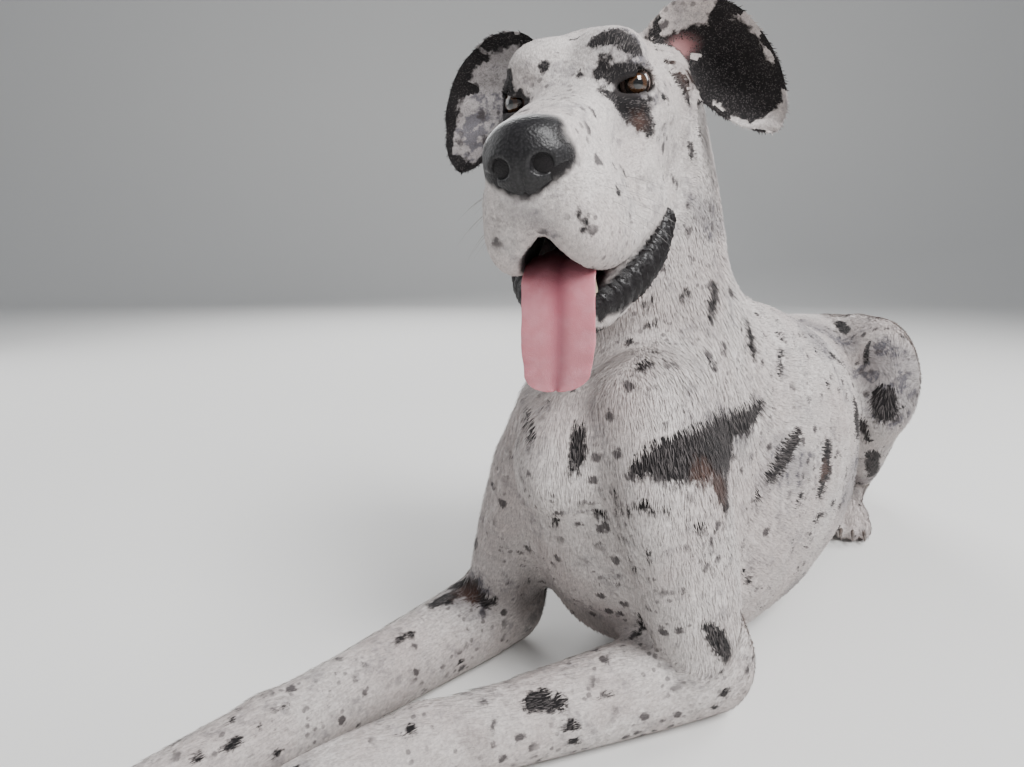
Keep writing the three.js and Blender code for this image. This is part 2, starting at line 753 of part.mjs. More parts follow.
// The space that a mesh takes with a gap round it: each point moves outwards until every face that
// meets there has moved by the gap.
function roomFor(geometry) {
  const wide = geometry.clone();
  wide.computeVertexNormals();
  const { position, normal } = wide.attributes;
  const index = wide.index.array;
  const least = new Float32Array(position.count).fill(1);
  const triangle = new THREE.Triangle();
  const facing = new THREE.Vector3();
  for (let i = 0; i < index.length; i += 3) {
    triangle.setFromAttributeAndIndices(geometry.attributes.position, index[i], index[i + 1], index[i + 2]);
    triangle.getNormal(facing);
    for (const corner of index.slice(i, i + 3)) {
      const share = facing.dot(new THREE.Vector3().fromBufferAttribute(normal, corner));
      least[corner] = Math.min(least[corner], share);
    }
  }
  for (let i = 0; i < position.count; i++) {
    const move = GAP / Math.max(least[i], 0.25);
    position.setXYZ(
      i,
      position.getX(i) + move * normal.getX(i),
      position.getY(i) + move * normal.getY(i),
      position.getZ(i) + move * normal.getZ(i),
    );
  }
  wide.deleteAttribute("normal");
  const room = solid(wide);
  const own = solid(geometry);
  return own.subtract(room).volume() > 0 ? room.add(own) : room;
}

// The blank that parts a limb from the trunk: the limb's own form, grown, and the same with a gap round it.
function blank(form, cell) {
  const grown = (x, y, z) => form(x, y, z) - SWELL;
  const box = form.box.clone().expandByScalar(SWELL);
  const geometry = skin(grown, new THREE.Vector3(...cell), box);
  const inside = solid(geometry);
  return { inside, outside: roomFor(geometry) };
}

const clearances = [];
for (const side of ["left", "right"]) {
  const sign = side === "left" ? 1 : -1;
  const form = legForms[side];
  const fore = FORELEGS[side];
  const hind = HIND_LEGS[side];

  const elbow = { at: fore.upper.at(-1).slice(0, 3), facing: [sign * -0.3, -0.72, -0.63] };
  const wrist = across(fore.lower, fore.lower.at(-1), fore.hand);
  const armBlank = blank(fuse(16, form.upper, form.lower), [28, 28, 28]);
  const arm = fleshSolid(body, fore.upper, [25, 25, 30], 110).intersect(armBlank.inside);
  add(`upper_arm_${side}`, within(arm, [opposite(elbow)]), COAT);
  const lower = fleshSolid(body, fore.lower, [23, 27, 21]).intersect(armBlank.inside);
  add(`forearm_${side}`, within(lower, [elbow, opposite(wrist)]), COAT);
  const hand = fleshSolid(fuse(12, form.lower, form.hand), fore.hand, [14, 16, 13], 60);
  const paw = claws(fore.hand).reduce((a, b) => a.add(b), within(hand, [wrist]));
  add(`fore_paw_${side}`, paw, COAT);

  const knee = hind.thigh.at(-1);
  const ankle = hind.shank.at(-1);
  const fold = { at: [knee[0], knee[1] + 20, knee[2] - 62], facing: [0, -0.2, 0.98] };
  const hock = { at: [ankle[0], ankle[1] - 10, ankle[2] - 12], facing: [0, 0.35, 0.94] };
  const middle = { at: [hind.thigh[0][0] - sign * 34, 0, 0], facing: [sign, 0, 0] };
  const legBlank = blank(fuse(14, form.thigh, form.shank), [34, 34, 34]);
  const haunch = fleshSolid(body, hind.thigh, [33, 38, 31], 150).intersect(legBlank.inside);
  add(`thigh_${side}`, within(haunch, [fold, middle]), COAT);
  const shin = fleshSolid(body, hind.shank, [28, 34, 25], 80).intersect(legBlank.inside);
  add(`shank_${side}`, within(shin, [opposite(fold), hock, middle]), COAT);
  const foot = fleshSolid(form.foot, hind.foot, [16, 19, 13], 60);
  const heel = claws(hind.foot).reduce((a, b) => a.add(b), within(foot, [opposite(hock)]));
  add(`hind_foot_${side}`, heel, COAT);
  clearances.push(armBlank.outside, legBlank.outside.intersect(block(middle, -GAP / 2)));
}

const trunkCell = [38, 52, 36];
function trunkNode(name, stations, planes) {
  const whole = fleshSolid(body, stations, trunkCell, 200);
  add(name, clearances.reduce((left, limb) => left.subtract(limb), within(whole, planes)), COAT);
}
trunkNode("chest", TRUNK.slice(0, 5), [opposite(NECK_BASE), opposite(BELLY_FRONT)]);
trunkNode("belly", TRUNK.slice(4, 8), [BELLY_FRONT, opposite(RUMP_FRONT)]);
trunkNode("rump", TRUNK.slice(7), [RUMP_FRONT, opposite(TAIL_ROOT)]);
const tailSolid = fleshSolid(fuse(30, trunk, tube(TAIL)), TAIL, [13, 12, 11], 50);
const tail = clearances.reduce((left, limb) => left.subtract(limb), tailSolid);
add("tail", within(tail, [TAIL_ROOT]), COAT);

// The head's nodes are made in its own frame and then set in place.
const inHead = (made) => made.transform(HEAD.elements);
const local = (form, cell, box) => skin(form, new THREE.Vector3(...cell), box);
const headTurned = (v) => new THREE.Vector3(...v).transformDirection(HEAD).toArray();
const headPoint = (v) => new THREE.Vector3(...v).applyMatrix4(HEAD).toArray();
const NAPE = { at: headPoint([0, 118, -30]), facing: headTurned([0, -0.85, 0.5]) };

const headAndGullet = fuse(20, headForm, gullet);
const neckForm = fuse(30, trunk, placed(headAndGullet, HEAD));
const toNeck = HEAD.clone().invert();
const neckInHead = placed(neckForm, toNeck);
const headBox = new THREE.Box3(new THREE.Vector3(-96, -170, -150), new THREE.Vector3(96, 175, 85));

const jawSkin = local(jaw, [14, 18, 13]);
const noseSkin = local(noseForm, [9, 9, 9]);
const earSkins = { left: earSkin(1), right: earSkin(-1) };
const eyeBall = new THREE.SphereGeometry(EYE_RADIUS, 12, 8);
const eyeRoom = new THREE.SphereGeometry(EYE_RADIUS + GAP, 12, 8);

const headMass = (x, y, z) => Math.max(neckInHead(x, y, z), boxDepth(headBox, x, y, z));
let head = solid(local(headMass, [14, 17, 14], headBox));
const tongue = tongueSkin();
for (const part of [jawSkin, noseSkin, tongue]) head = head.subtract(roomFor(part));

const eyeColor = 0x6b4423;
for (const side of ["left", "right"]) {
  const s = side === "left" ? 1 : -1;
  const at = new THREE.Matrix4()
    .makeRotationZ(rad(s * EYE.outward))
    .setPosition(s * EYE.x, EYE.y, EYE.z);
  head = head.add(lids(at)).subtract(solid(eyeRoom, at));
  add(`eye_${side}`, inHead(solid(eyeBall, at)), eyeColor);
}
for (const s of [1, -1]) head = head.add(fang([s * 24, -112, -78], 24, 5, -1));
let flesh = inHead(head);
for (const side of ["left", "right"]) {
  add(`ear_${side}`, inHead(solid(earSkins[side])), 0x4a4446);
  flesh = flesh.subtract(inHead(roomFor(earSkins[side])));
}
add("head", within(flesh, [NAPE]), COAT);
add("nose", inHead(solid(noseSkin).subtract(solid(local(nostrils, [6, 6, 6])))), 0x1c1a1b);

let jawBody = solid(jawSkin);
for (const s of [1, -1]) {
  jawBody = jawBody.add(fang([s * 22, -90, -146], 26, 5.5, 1));
  for (const at of INCISORS) jawBody = jawBody.add(fang([s * at[0], at[1], at[2]], 14, 3, 1));
}
add("lower_jaw", inHead(jawBody.subtract(roomFor(tongue))), 0x3a3234);
add("tongue", inHead(solid(tongue)), 0xc8707c);

const NECK_CELL = [26, 26, 34];
const around = [jawSkin, earSkins.left, earSkins.right].map((part) => inHead(roomFor(part)));
const neck = [...around, ...clearances].reduce(
  (left, part) => left.subtract(part),
  fleshSolid(neckForm, NECK, NECK_CELL, 130),
);
add("neck", within(neck, [NECK_BASE, opposite(NAPE)]), COAT);

// The frame's origin is moved to the middle of the bounding box's underside.
const bounds = new THREE.Box3().setFromObject(group);
const middle = bounds.getCenter(new THREE.Vector3());
for (const mesh of group.children) mesh.geometry.translate(-middle.x, -middle.y, 0);

export default group;
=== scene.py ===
"""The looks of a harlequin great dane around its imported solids: one skin, a short coat and a stage."""

import math

import bmesh
import bpy
import numpy as np
from bpy.props import FloatProperty, FloatVectorProperty, IntProperty, PointerProperty
from mathutils import Euler, Matrix, Vector


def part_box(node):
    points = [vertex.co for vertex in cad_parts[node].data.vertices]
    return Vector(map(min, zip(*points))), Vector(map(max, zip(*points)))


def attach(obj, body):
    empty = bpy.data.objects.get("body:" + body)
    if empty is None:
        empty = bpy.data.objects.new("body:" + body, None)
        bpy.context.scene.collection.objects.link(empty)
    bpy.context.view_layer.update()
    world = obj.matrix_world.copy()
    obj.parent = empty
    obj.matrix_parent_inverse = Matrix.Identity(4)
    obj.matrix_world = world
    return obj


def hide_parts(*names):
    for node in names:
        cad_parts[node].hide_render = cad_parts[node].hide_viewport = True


bl_info = {
    "name": "Great Dane",
    "version": (1, 0, 0),
    "blender": (4, 5, 0),
    "location": "View3D > Sidebar > Dog",
    "description": "Builds a lying harlequin great dane over its solids",
    "category": "Object",
}

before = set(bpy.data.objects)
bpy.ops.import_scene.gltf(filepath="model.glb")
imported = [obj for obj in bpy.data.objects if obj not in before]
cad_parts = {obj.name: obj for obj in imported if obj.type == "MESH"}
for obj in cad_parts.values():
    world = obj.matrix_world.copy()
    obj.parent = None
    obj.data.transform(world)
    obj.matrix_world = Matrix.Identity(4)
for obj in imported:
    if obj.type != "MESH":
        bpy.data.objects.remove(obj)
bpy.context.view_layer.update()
MM = 0.001

# Places in the dog's own frame, in millimetres: the origin is on the floor between the elbows.
HEAD_AT = (34, -118, 615)
HEAD_TURN, HEAD_NOD, HEAD_LEAN = 17.5, 12, -4.8
EYE_RADIUS = 13
EYE = {"x": 50, "y": 6, "z": 0, "outward": 16}
LID = {"radius": 16.6, "half_width": 14.2, "half_height": 4.3, "drop": 1.0}
COAT_DEPTH = 1.6
# The body's folds are mirrored at x = MIDDLE, and the skin ends at z = LOWEST above the floor.
MIDDLE = 20.0
LOWEST = 0.4
CAMERA_AT = (377, -659, 495)
CAMERA_YAW = 37
CAMERA_PITCH = 11.27
FOCAL_PIXELS = 720
PICTURE = (1024, 767)

HEAD = (
    Matrix.Translation(HEAD_AT)
    @ Matrix.Rotation(math.radians(HEAD_TURN), 4, "Z")
    @ Matrix.Rotation(math.radians(HEAD_NOD), 4, "X")
    @ Matrix.Rotation(math.radians(HEAD_LEAN), 4, "Y")
)
HEAD_TURNED = np.array(HEAD.to_3x3())
HEAD_ORIGIN = np.array(HEAD_AT, float)

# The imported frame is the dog's frame moved along the floor, which an eye's place shows.
_low, _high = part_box("eye_left")
_eye = HEAD @ Vector((EYE["x"], EYE["y"], EYE["z"]))
SHIFT = np.array([(_low[0] + _high[0]) / 2 / MM - _eye.x, (_low[1] + _high[1]) / 2 / MM - _eye.y, 0.0])

# Stations: [x, y, z, half width, half height].
TRUNK = [
    [20, -92, 300, 50, 66], [20, -40, 280, 82, 130], [20, 50, 250, 120, 198],
    [22, 150, 220, 146, 224], [30, 270, 207, 156, 212], [36, 390, 200, 148, 188],
    [34, 490, 208, 126, 156], [26, 590, 215, 110, 149], [16, 690, 212, 106, 152],
    [8, 760, 190, 92, 130], [2, 815, 165, 66, 88],
]
NECK = [[22, 76, 345, 82, 112], [27, 58, 440, 75, 110], [27, 38, 520, 70, 99], [22, 20, 600, 65, 82]]
TAIL = [
    [0, 790, 205, 34, 36], [0, 860, 150, 30, 32], [-4, 915, 75, 25, 27], [-22, 970, 28, 20, 22],
    [-70, 1030, 17, 17, 17], [-150, 1065, 14, 14, 14], [-240, 1060, 11, 11, 11], [-320, 1020, 8, 8, 8],
]
FORELEGS = {
    "left": {
        "upper": [[86, -50, 350, 48, 78], [102, -55, 280, 54, 76], [114, -34, 200, 48, 68],
                  [121, -8, 120, 43, 62], [124, 10, 66, 42, 58]],
        "lower": [[128, 22, 56, 46, 56], [98, -28, 52, 44, 53], [50, -105, 46, 40, 46],
                  [0, -185, 42, 35, 41], [-38, -241, 39, 35, 38]],
        "hand": [[-38, -241, 39, 35, 38], [-62, -292, 36, 37, 35], [-80, -345, 30, 42, 32],
                 [-88, -385, 24, 40, 26]],
    },
    "right": {
        "upper": [[-32, -30, 325, 36, 62], [-48, -40, 265, 44, 66], [-72, -36, 200, 44, 62],
                  [-102, -24, 120, 41, 58], [-122, -12, 66, 41, 57]],
        "lower": [[-126, 0, 56, 46, 56], [-131, -52, 52, 44, 53], [-142, -140, 47, 40, 46],
                  [-154, -235, 42, 35, 41], [-165, -318, 39, 35, 38]],
        "hand": [[-165, -318, 39, 35, 38], [-174, -372, 36, 37, 35], [-181, -428, 30, 42, 32],
                 [-185, -468, 24, 40, 26]],
    },
}
HIND_LEGS = {
    "left": {
        "thigh": [[66, 735, 250, 74, 108], [118, 660, 262, 70, 112], [168, 575, 278, 56, 98],
                  [190, 522, 284, 44, 80]],
        "shank": [[176, 520, 262, 42, 62], [160, 590, 200, 40, 58], [134, 690, 118, 34, 44],
                  [112, 775, 62, 28, 34]],
        "foot": [[102, 810, 60, 26, 32], [110, 755, 36, 24, 28], [118, 685, 32, 26, 28],
                 [130, 640, 26, 34, 27], [136, 612, 22, 34, 23]],
    },
    "right": {
        "thigh": [[-66, 735, 236, 74, 108], [-118, 650, 222, 72, 110], [-164, 565, 200, 56, 96],
                  [-182, 512, 190, 44, 80]],
        "shank": [[-172, 512, 175, 42, 62], [-162, 590, 140, 40, 56], [-142, 690, 92, 34, 44],
                  [-126, 775, 58, 28, 34]],
        "foot": [[-126, 795, 60, 26, 32], [-134, 735, 36, 24, 28], [-152, 660, 32, 26, 28],
                 [-168, 605, 26, 34, 27], [-175, 575, 22, 34, 23]],
    },
}
TOE = {"wide": 15, "long": 31, "high": 19}
CLAW = {"long": 20, "radius": 4.0}
JAW_LINE = [[54, 74, -80, 15, 32], [50, 10, -118, 15, 27], [38, -50, -148, 15, 23],
            [20, -86, -162, 14, 19], [0, -97, -165, 14, 17]]
LIP_LINE = [[66, 20, -114, 7, 10], [61, -14, -132, 9, 14], [48, -54, -148, 9, 15],
            [27, -86, -157, 9, 11], [0, -101, -158, 8, 9]]
FLEW_LINE = [[10, -138, -74, 14, 14], [26, -126, -96, 15, 18], [38, -92, -107, 15, 20],
             [50, -42, -104, 14, 19], [60, 8, -96, 12, 16]]
MUZZLE = [[0, 40, -36, 48, 44], [0, -50, -38, 41, 40], [0, -124, -44, 37, 35]]
# Along the ear: [x, y, z, half width, cup depth, then the direction of the width].
EAR = [
    [52, 88, 20, 28, 2, -0.35, 0.75, 0.55], [70, 95, 27, 32, 11, -0.2, 0.45, 0.87],
    [89, 101, 26, 36, 15, 0.1, 0.15, 0.98], [107, 105, 16, 38, 14, 0.42, -0.05, 0.9],
    [122, 106, 0, 36, 12, 0.68, -0.1, 0.72], [136, 104, -20, 31, 8, 0.84, -0.1, 0.52],
    [149, 101, -40, 21, 4, 0.93, -0.1, 0.35], [158, 98, -58, 8, 1, 0.97, -0.1, 0.2],
]
EAR_THICK = 3.2
EAR_ROOT = 0.24
TONGUE = [
    [0, -20, -126, 24, 6], [1, -60, -124, 27, 6], [2, -96, -121, 29, 5.5], [4, -118, -128, 30, 5],
    [3, -126, -150, 30, 4.5], [0, -128, -176, 31, 4.5], [-4, -127, -200, 28, 4.5],
    [-8, -126, -216, 15, 3.5],
]


# Forms: functions of points that give the distance in millimetres to a surface.

class Form:
    """A distance function with the box that holds the surface."""

    def __init__(self, low, high, measure):
        self.low = np.asarray(low, float)
        self.high = np.asarray(high, float)
        self.measure = measure

    def __call__(self, points):
        return self.measure(points)


def soften(a, b, fillet):
    near = np.maximum(fillet - np.abs(a - b), 0) / fillet
    return np.minimum(a, b) - near * near * fillet / 4


def egg(centre, radii, turn=(0, 0, 0)):
    """An ellipsoid with the given half sizes, turned by angles in degrees."""
    turned = np.array(Euler([math.radians(t) for t in turn], "XYZ").to_matrix())
    centre, radii = np.array(centre, float), np.array(radii, float)

    def measure(p):
        u = (p - centre) @ turned / radii
        scaled = np.linalg.norm(u, axis=1)
        slope = np.linalg.norm(u / radii, axis=1)
        return np.where(slope < 1e-9, -radii.min(), scaled * (scaled - 1) / np.maximum(slope, 1e-9))

    return Form(centre - radii.max(), centre + radii.max(), measure)


def curve(points, count):
    """Places and headings along a smooth centripetal Catmull-Rom curve."""
    p = np.array(points, float)
    p = np.vstack([2 * p[0] - p[1], p, 2 * p[-1] - p[-2]])

    def place(share):
        along = share * (len(points) - 1)
        k = min(int(along), len(points) - 2)
        t = along - k
        q = p[k:k + 4]
        steps = [np.linalg.norm(q[i + 1] - q[i]) ** 0.5 for i in range(3)]
        first = (q[1] - q[0]) / steps[0] - (q[2] - q[0]) / (steps[0] + steps[1]) + (q[2] - q[1]) / steps[1]
        last = (q[2] - q[1]) / steps[1] - (q[3] - q[1]) / (steps[1] + steps[2]) + (q[3] - q[2]) / steps[2]
        first, last = first * steps[1], last * steps[1]
        c2 = -3 * q[1] + 3 * q[2] - 2 * first - last
        c3 = 2 * q[1] - 2 * q[2] + first + last
        return q[1] + first * t + c2 * t * t + c3 * t ** 3

    places = np.array([place(i / count) for i in range(count + 1)])
    small = 1e-4
    shares = [i / count for i in range(count + 1)]
    ahead = np.array([place(min(t + small, 1)) - place(max(t - small, 0)) for t in shares])
    return places, ahead / np.linalg.norm(ahead, axis=1)[:, None]


def tube(stations, up=(0, 0, 1), corners=2.0, steps=5):
    """A limb along a curve, with a section that is wide across and tall along up."""
    count = (len(stations) - 1) * steps
    at, ahead = curve([s[:3] for s in stations], count)
    side = np.cross(np.array(up, float), ahead)
    side /= np.linalg.norm(side, axis=1)[:, None]
    top = np.cross(ahead, side)
    along = np.linspace(0, len(stations) - 1, count + 1)
    wide = np.interp(along, range(len(stations)), [s[3] for s in stations])
    tall = np.interp(along, range(len(stations)), [s[4] for s in stations])
    step = at[1:] - at[:-1]
    square = (step ** 2).sum(1)

    def nearest(p):
        best = np.full(len(p), np.inf)
        index = np.zeros(len(p), int)
        share = np.zeros(len(p))
        for i in range(count):
            c = np.clip((p - at[i]) @ step[i] / square[i], 0, 1)
            gap = ((p - at[i] - c[:, None] * step[i]) ** 2).sum(1)
            closer = gap < best
            best[closer], index[closer], share[closer] = gap[closer], i, c[closer]
        return best, index, share

    def measure(p):
        best, i, t = nearest(p)
        t = t[:, None]

        def mix(v):
            return v[i] * (1 - t) + v[i + 1] * t

        off = p - mix(at)
        w = (wide[i] * (1 - t[:, 0]) + wide[i + 1] * t[:, 0])
        h = (tall[i] * (1 - t[:, 0]) + tall[i + 1] * t[:, 0])
        u = np.abs((off * mix(side)).sum(1)) / w
        v = np.abs((off * mix(top)).sum(1)) / h
        e = np.abs((off * mix(ahead)).sum(1)) / np.minimum(w, h)
        scaled = (u ** corners + v ** corners + e ** corners) ** (1 / corners)
        outer = np.sqrt(best) * (1 - 1 / np.maximum(scaled, 1e-6))
        return np.where(scaled < 1e-6, -np.minimum(w, h), outer)

    most = np.maximum(wide, tall)[:, None]
    form = Form((at - most).min(0), (at + most).max(0), measure)
    form.nearest, form.ahead = nearest, ahead
    return form


def fuse(fillet, *forms):
    """Several forms as one, with fillets between them."""

    def measure(p):
        d = np.full(len(p), 1e9)
        for f in forms:
            away = np.linalg.norm(np.maximum(np.maximum(f.low - p, p - f.high), 0), axis=1)
            near = away <= fillet + 60
            d = np.where(near, d, np.minimum(d, away))
            if near.any():
                d[near] = soften(d[near], f(p[near]), fillet)
        return d

    return Form(np.min([f.low for f in forms], 0), np.max([f.high for f in forms], 0), measure)


def to_head(p):
    return (p - HEAD_ORIGIN) @ HEAD_TURNED


def from_head(p):
    return np.asarray(p, float) @ HEAD_TURNED.T + HEAD_ORIGIN


def in_head(form):
    """A form that is measured in the head's frame."""
    corners = np.array([[(form.low, form.high)[(c >> i) & 1][i] for i in range(3)] for c in range(8)])
    corners = from_head(corners)
    return Form(corners.min(0), corners.max(0), lambda p: form(to_head(p)))


def pair(make):
    return [make(1), make(-1)]


def mirrored(stations, s):
    return [[s * v[0], *v[1:]] for v in stations]


def toe_places(stations):
    end, before = np.array(stations[-1][:3], float), np.array(stations[-2][:3], float)
    ahead = (end - before) * [1, 1, 0]
    ahead /= np.linalg.norm(ahead)
    side = np.cross([0, 0, 1], ahead)
    half = stations[-1][3]
    places = []
    for share in (-1, -1 / 3, 1 / 3, 1):
        inner = 1 - abs(share)
        at = end + side * share * (half - TOE["wide"] + 3) + ahead * (4 + 22 * inner)
        at[2] = TOE["high"] - 1 + 5 * inner
        a = math.radians(share * 8)
        c, s = math.cos(a), math.sin(a)
        turned = np.array([ahead[0] * c - ahead[1] * s, ahead[0] * s + ahead[1] * c, 0])
        places.append((at, turned))
    return places


def toes(stations):
    each = []
    for at, ahead in toe_places(stations):
        turn = math.degrees(math.atan2(-ahead[0], ahead[1]))
        each.append(egg(at, (TOE["wide"], TOE["long"], TOE["high"]), (0, 0, turn)))
    return fuse(4, *each)


LIMBS = {"trunk": tube(TRUNK, corners=2.4), "neck": tube(NECK, up=(0, 1, 0)), "tail": tube(TAIL)}
for _side in ("left", "right"):
    _fore, _hind = FORELEGS[_side], HIND_LEGS[_side]
    LIMBS["upper_" + _side] = tube(_fore["upper"], up=(0, 1, 0))
    LIMBS["lower_" + _side] = tube(_fore["lower"])
    LIMBS["hand_" + _side] = tube(_fore["hand"])
    LIMBS["thigh_" + _side] = tube(_hind["thigh"])
    LIMBS["shank_" + _side] = tube(_hind["shank"])
    LIMBS["foot_" + _side] = tube(_hind["foot"])

skull = fuse(
    24,
    egg((0, 74, -6), (66, 96, 60)),
    tube(MUZZLE, corners=3.0),
    *pair(lambda s: egg((s * 33, 16, 22), (28, 30, 25))),
    *pair(lambda s: egg((s * 50, 45, -24), (25, 58, 34))),
    *pair(lambda s: egg((s * 46, 80, -58), (26, 52, 50))),
    *pair(lambda s: egg((s * 50, 2, -68), (17, 40, 26))),
    *pair(lambda s: egg((s * 66, 96, 2), (16, 26, 22))),
)
flews = fuse(
    16,
    *pair(lambda s: egg((s * 32, -86, -84), (23, 56, 42))),
    *pair(lambda s: tube(mirrored(FLEW_LINE, s))),
)
mouth = egg((0, -64, -128), (27, 100, 42))
jaw = fuse(14, *pair(lambda s: tube(mirrored(JAW_LINE, s))), egg((0, -16, -152), (44, 86, 18), (16, 0, 0)))
lips = fuse(8, *pair(lambda s: tube(mirrored(LIP_LINE, s))))
gullet = egg((0, 78, -92), (50, 62, 44))
sockets = fuse(1, *pair(lambda s: egg((s * EYE["x"], EYE["y"], EYE["z"]), (EYE_RADIUS + 0.3,) * 3)))
eyelids = fuse(1, *pair(lambda s: egg((s * EYE["x"], EYE["y"], EYE["z"]), (LID["radius"],) * 3)))


def slit(s):
    a = math.radians(s * EYE["outward"])
    r = LID["radius"]
    centre = (s * EYE["x"] + r * math.sin(a), EYE["y"] - r * math.cos(a), EYE["z"] - LID["drop"])
    return egg(centre, (LID["half_width"], r, LID["half_height"]), (0, 0, s * EYE["outward"]))


slits = fuse(1, *pair(slit))
nose_form = fuse(
    8,
    egg((0, -140, -38), (33, 24, 27)),
    egg((0, -134, -22), (25, 24, 13)),
    egg((0, -142, -54), (14, 14, 16)),
)
nostrils = fuse(
    3,
    *pair(lambda s: egg((s * 16, -164, -40), (9, 12, 8))),
    *pair(lambda s: egg((s * 27, -154, -46), (8, 12, 4), (0, -s * 20, 0))),
)


# Ears

def ear_curve():
    """The ear's middle line and its width, depth and heading, finely divided."""
    rows = np.array(EAR, float)
    fine = np.linspace(0, len(rows) - 1, 36)
    k = np.arange(len(rows))
    at, _ = curve(rows[:, :3], len(fine) - 1)
    half, cup = np.interp(fine, k, rows[:, 3]), np.interp(fine, k, rows[:, 4])
    wide = np.stack([np.interp(fine, k, rows[:, i]) for i in (5, 6, 7)], 1)
    along = np.gradient(at, axis=0)
    along /= np.linalg.norm(along, axis=1)[:, None]
    wide -= along * (wide * along).sum(1)[:, None]
    wide /= np.linalg.norm(wide, axis=1)[:, None]
    back = np.cross(along, wide)
    back *= np.sign(back[:, 1:2])
    return at, half, cup, wide, back


EAR_LINE = ear_curve()


def ear_place(p, s):
    """Where points lie by an ear: across it (-1 to 1), off its sheet in mm, and along it (0 to 1)."""
    at, half, cup, wide, back = EAR_LINE
    q = p * [s, 1, 1]
    best = np.full(len(q), np.inf)
    index, share = np.zeros(len(q), int), np.zeros(len(q))
    for i in range(len(at) - 1):
        step = at[i + 1] - at[i]
        c = np.clip((q - at[i]) @ step / (step @ step), 0, 1)
        gap = ((q - at[i] - c[:, None] * step) ** 2).sum(1)
        closer = gap < best
        best[closer], index[closer], share[closer] = gap[closer], i, c[closer]
    t = share[:, None]

    def mix(v):
        return v[index] * (1 - t) + v[index + 1] * t

    off = q - mix(at)
    h = half[index] * (1 - share) + half[index + 1] * share
    c = cup[index] * (1 - share) + cup[index + 1] * share
    v = (off * mix(wide)).sum(1) / h
    w = (off * mix(back)).sum(1) - c * (1 - 2 * np.minimum(v * v, 1.3))
    steep = 4 * c * np.clip(v, -1, 1) / h
    heading = np.cross(mix(wide), mix(back))
    end = np.abs((off * heading).sum(1))
    return v, w / np.sqrt(1 + steep ** 2), (index + share) / (len(at) - 1), h, end


def ear_root(s):
    """The thick root of an ear, which the head runs into."""
    def measure(p):
        v, w, along, h, end = ear_place(p, s)
        thick = 9 - 10 * np.clip(along / EAR_ROOT, 0, 1) ** 2
        flat = np.abs(w) - thick / 2
        rim = (np.abs(v) - 1) * h
        inside = np.maximum(flat, rim)
        outside = np.hypot(np.maximum(flat, 0), np.maximum(rim, 0))
        return np.maximum(np.where(outside > 0, outside, inside), end - 3)

    at = EAR_LINE[0][:12] * [s, 1, 1]
    return Form(at.min(0) - 42, at.max(0) + 42, measure)


def ear_sheet(s):
    """Points and quads of an ear, in the dog's frame: a cupped sheet with two faces."""
    at, half, cup, wide, back = EAR_LINE
    count, across = 70, 33
    k = np.linspace(0, len(at) - 1, count)
    index = range(len(at))
    fine = [np.stack([np.interp(k, index, v[:, i]) for i in range(3)], 1) for v in (at, wide, back)]
    h, c = (np.interp(k, range(len(at)), v) for v in (half, cup))
    tip = np.clip((k[-1] - k) / 3.2, 0, 1)
    h = (h + 1) * np.sqrt(1 - (1 - tip) ** 2 * 0.94) * (0.5 + 0.5 * ease(k / k[-1], 0.0, 0.2))
    v = np.sin(np.linspace(-math.pi / 2, math.pi / 2, across))
    along = (k / k[-1])[:, None]
    wave = 1.6 * np.sin(along * 15 + v * 2.5 + s) * np.abs(v) ** 2 + 1.1 * np.sin(along * 31 - v * 4)
    crease = 2.2 * np.exp(-((v + 0.25) / 0.16) ** 2) * np.exp(-((along - 0.34) / 0.2) ** 2)
    rings = []
    for face in (1, -1):
        thick = EAR_THICK * np.sqrt(np.clip(1 - v ** 8, 0, 1)) / 2 * face
        off = c[:, None] * (1 - 2 * v * v) + wave + thick[None] - crease
        sheet = fine[0][:, None] + fine[1][:, None] * (v * h[:, None])[..., None]
        sheet = sheet + fine[2][:, None] * off[..., None]
        rings.append(sheet if face > 0 else sheet[:, ::-1])
    rings = np.concatenate(rings, 1)
    around = rings.shape[1]
    points = from_head((rings * [s, 1, 1]).reshape(-1, 3))
    i, j = np.meshgrid(np.arange(count - 1), np.arange(around), indexing="ij")
    a, b = (i * around + j).ravel(), (i * around + (j + 1) % around).ravel()
    quads = np.stack([a, b, b + around, a + around], 1)
    last = (count - 1) * around
    j = np.arange(across - 1)
    cap = np.stack([last + j, last + j + 1, last + around - 2 - j, last + around - 1 - j], 1)
    quads = np.vstack([quads, cap])
    return points, quads if s < 0 else quads[:, ::-1]


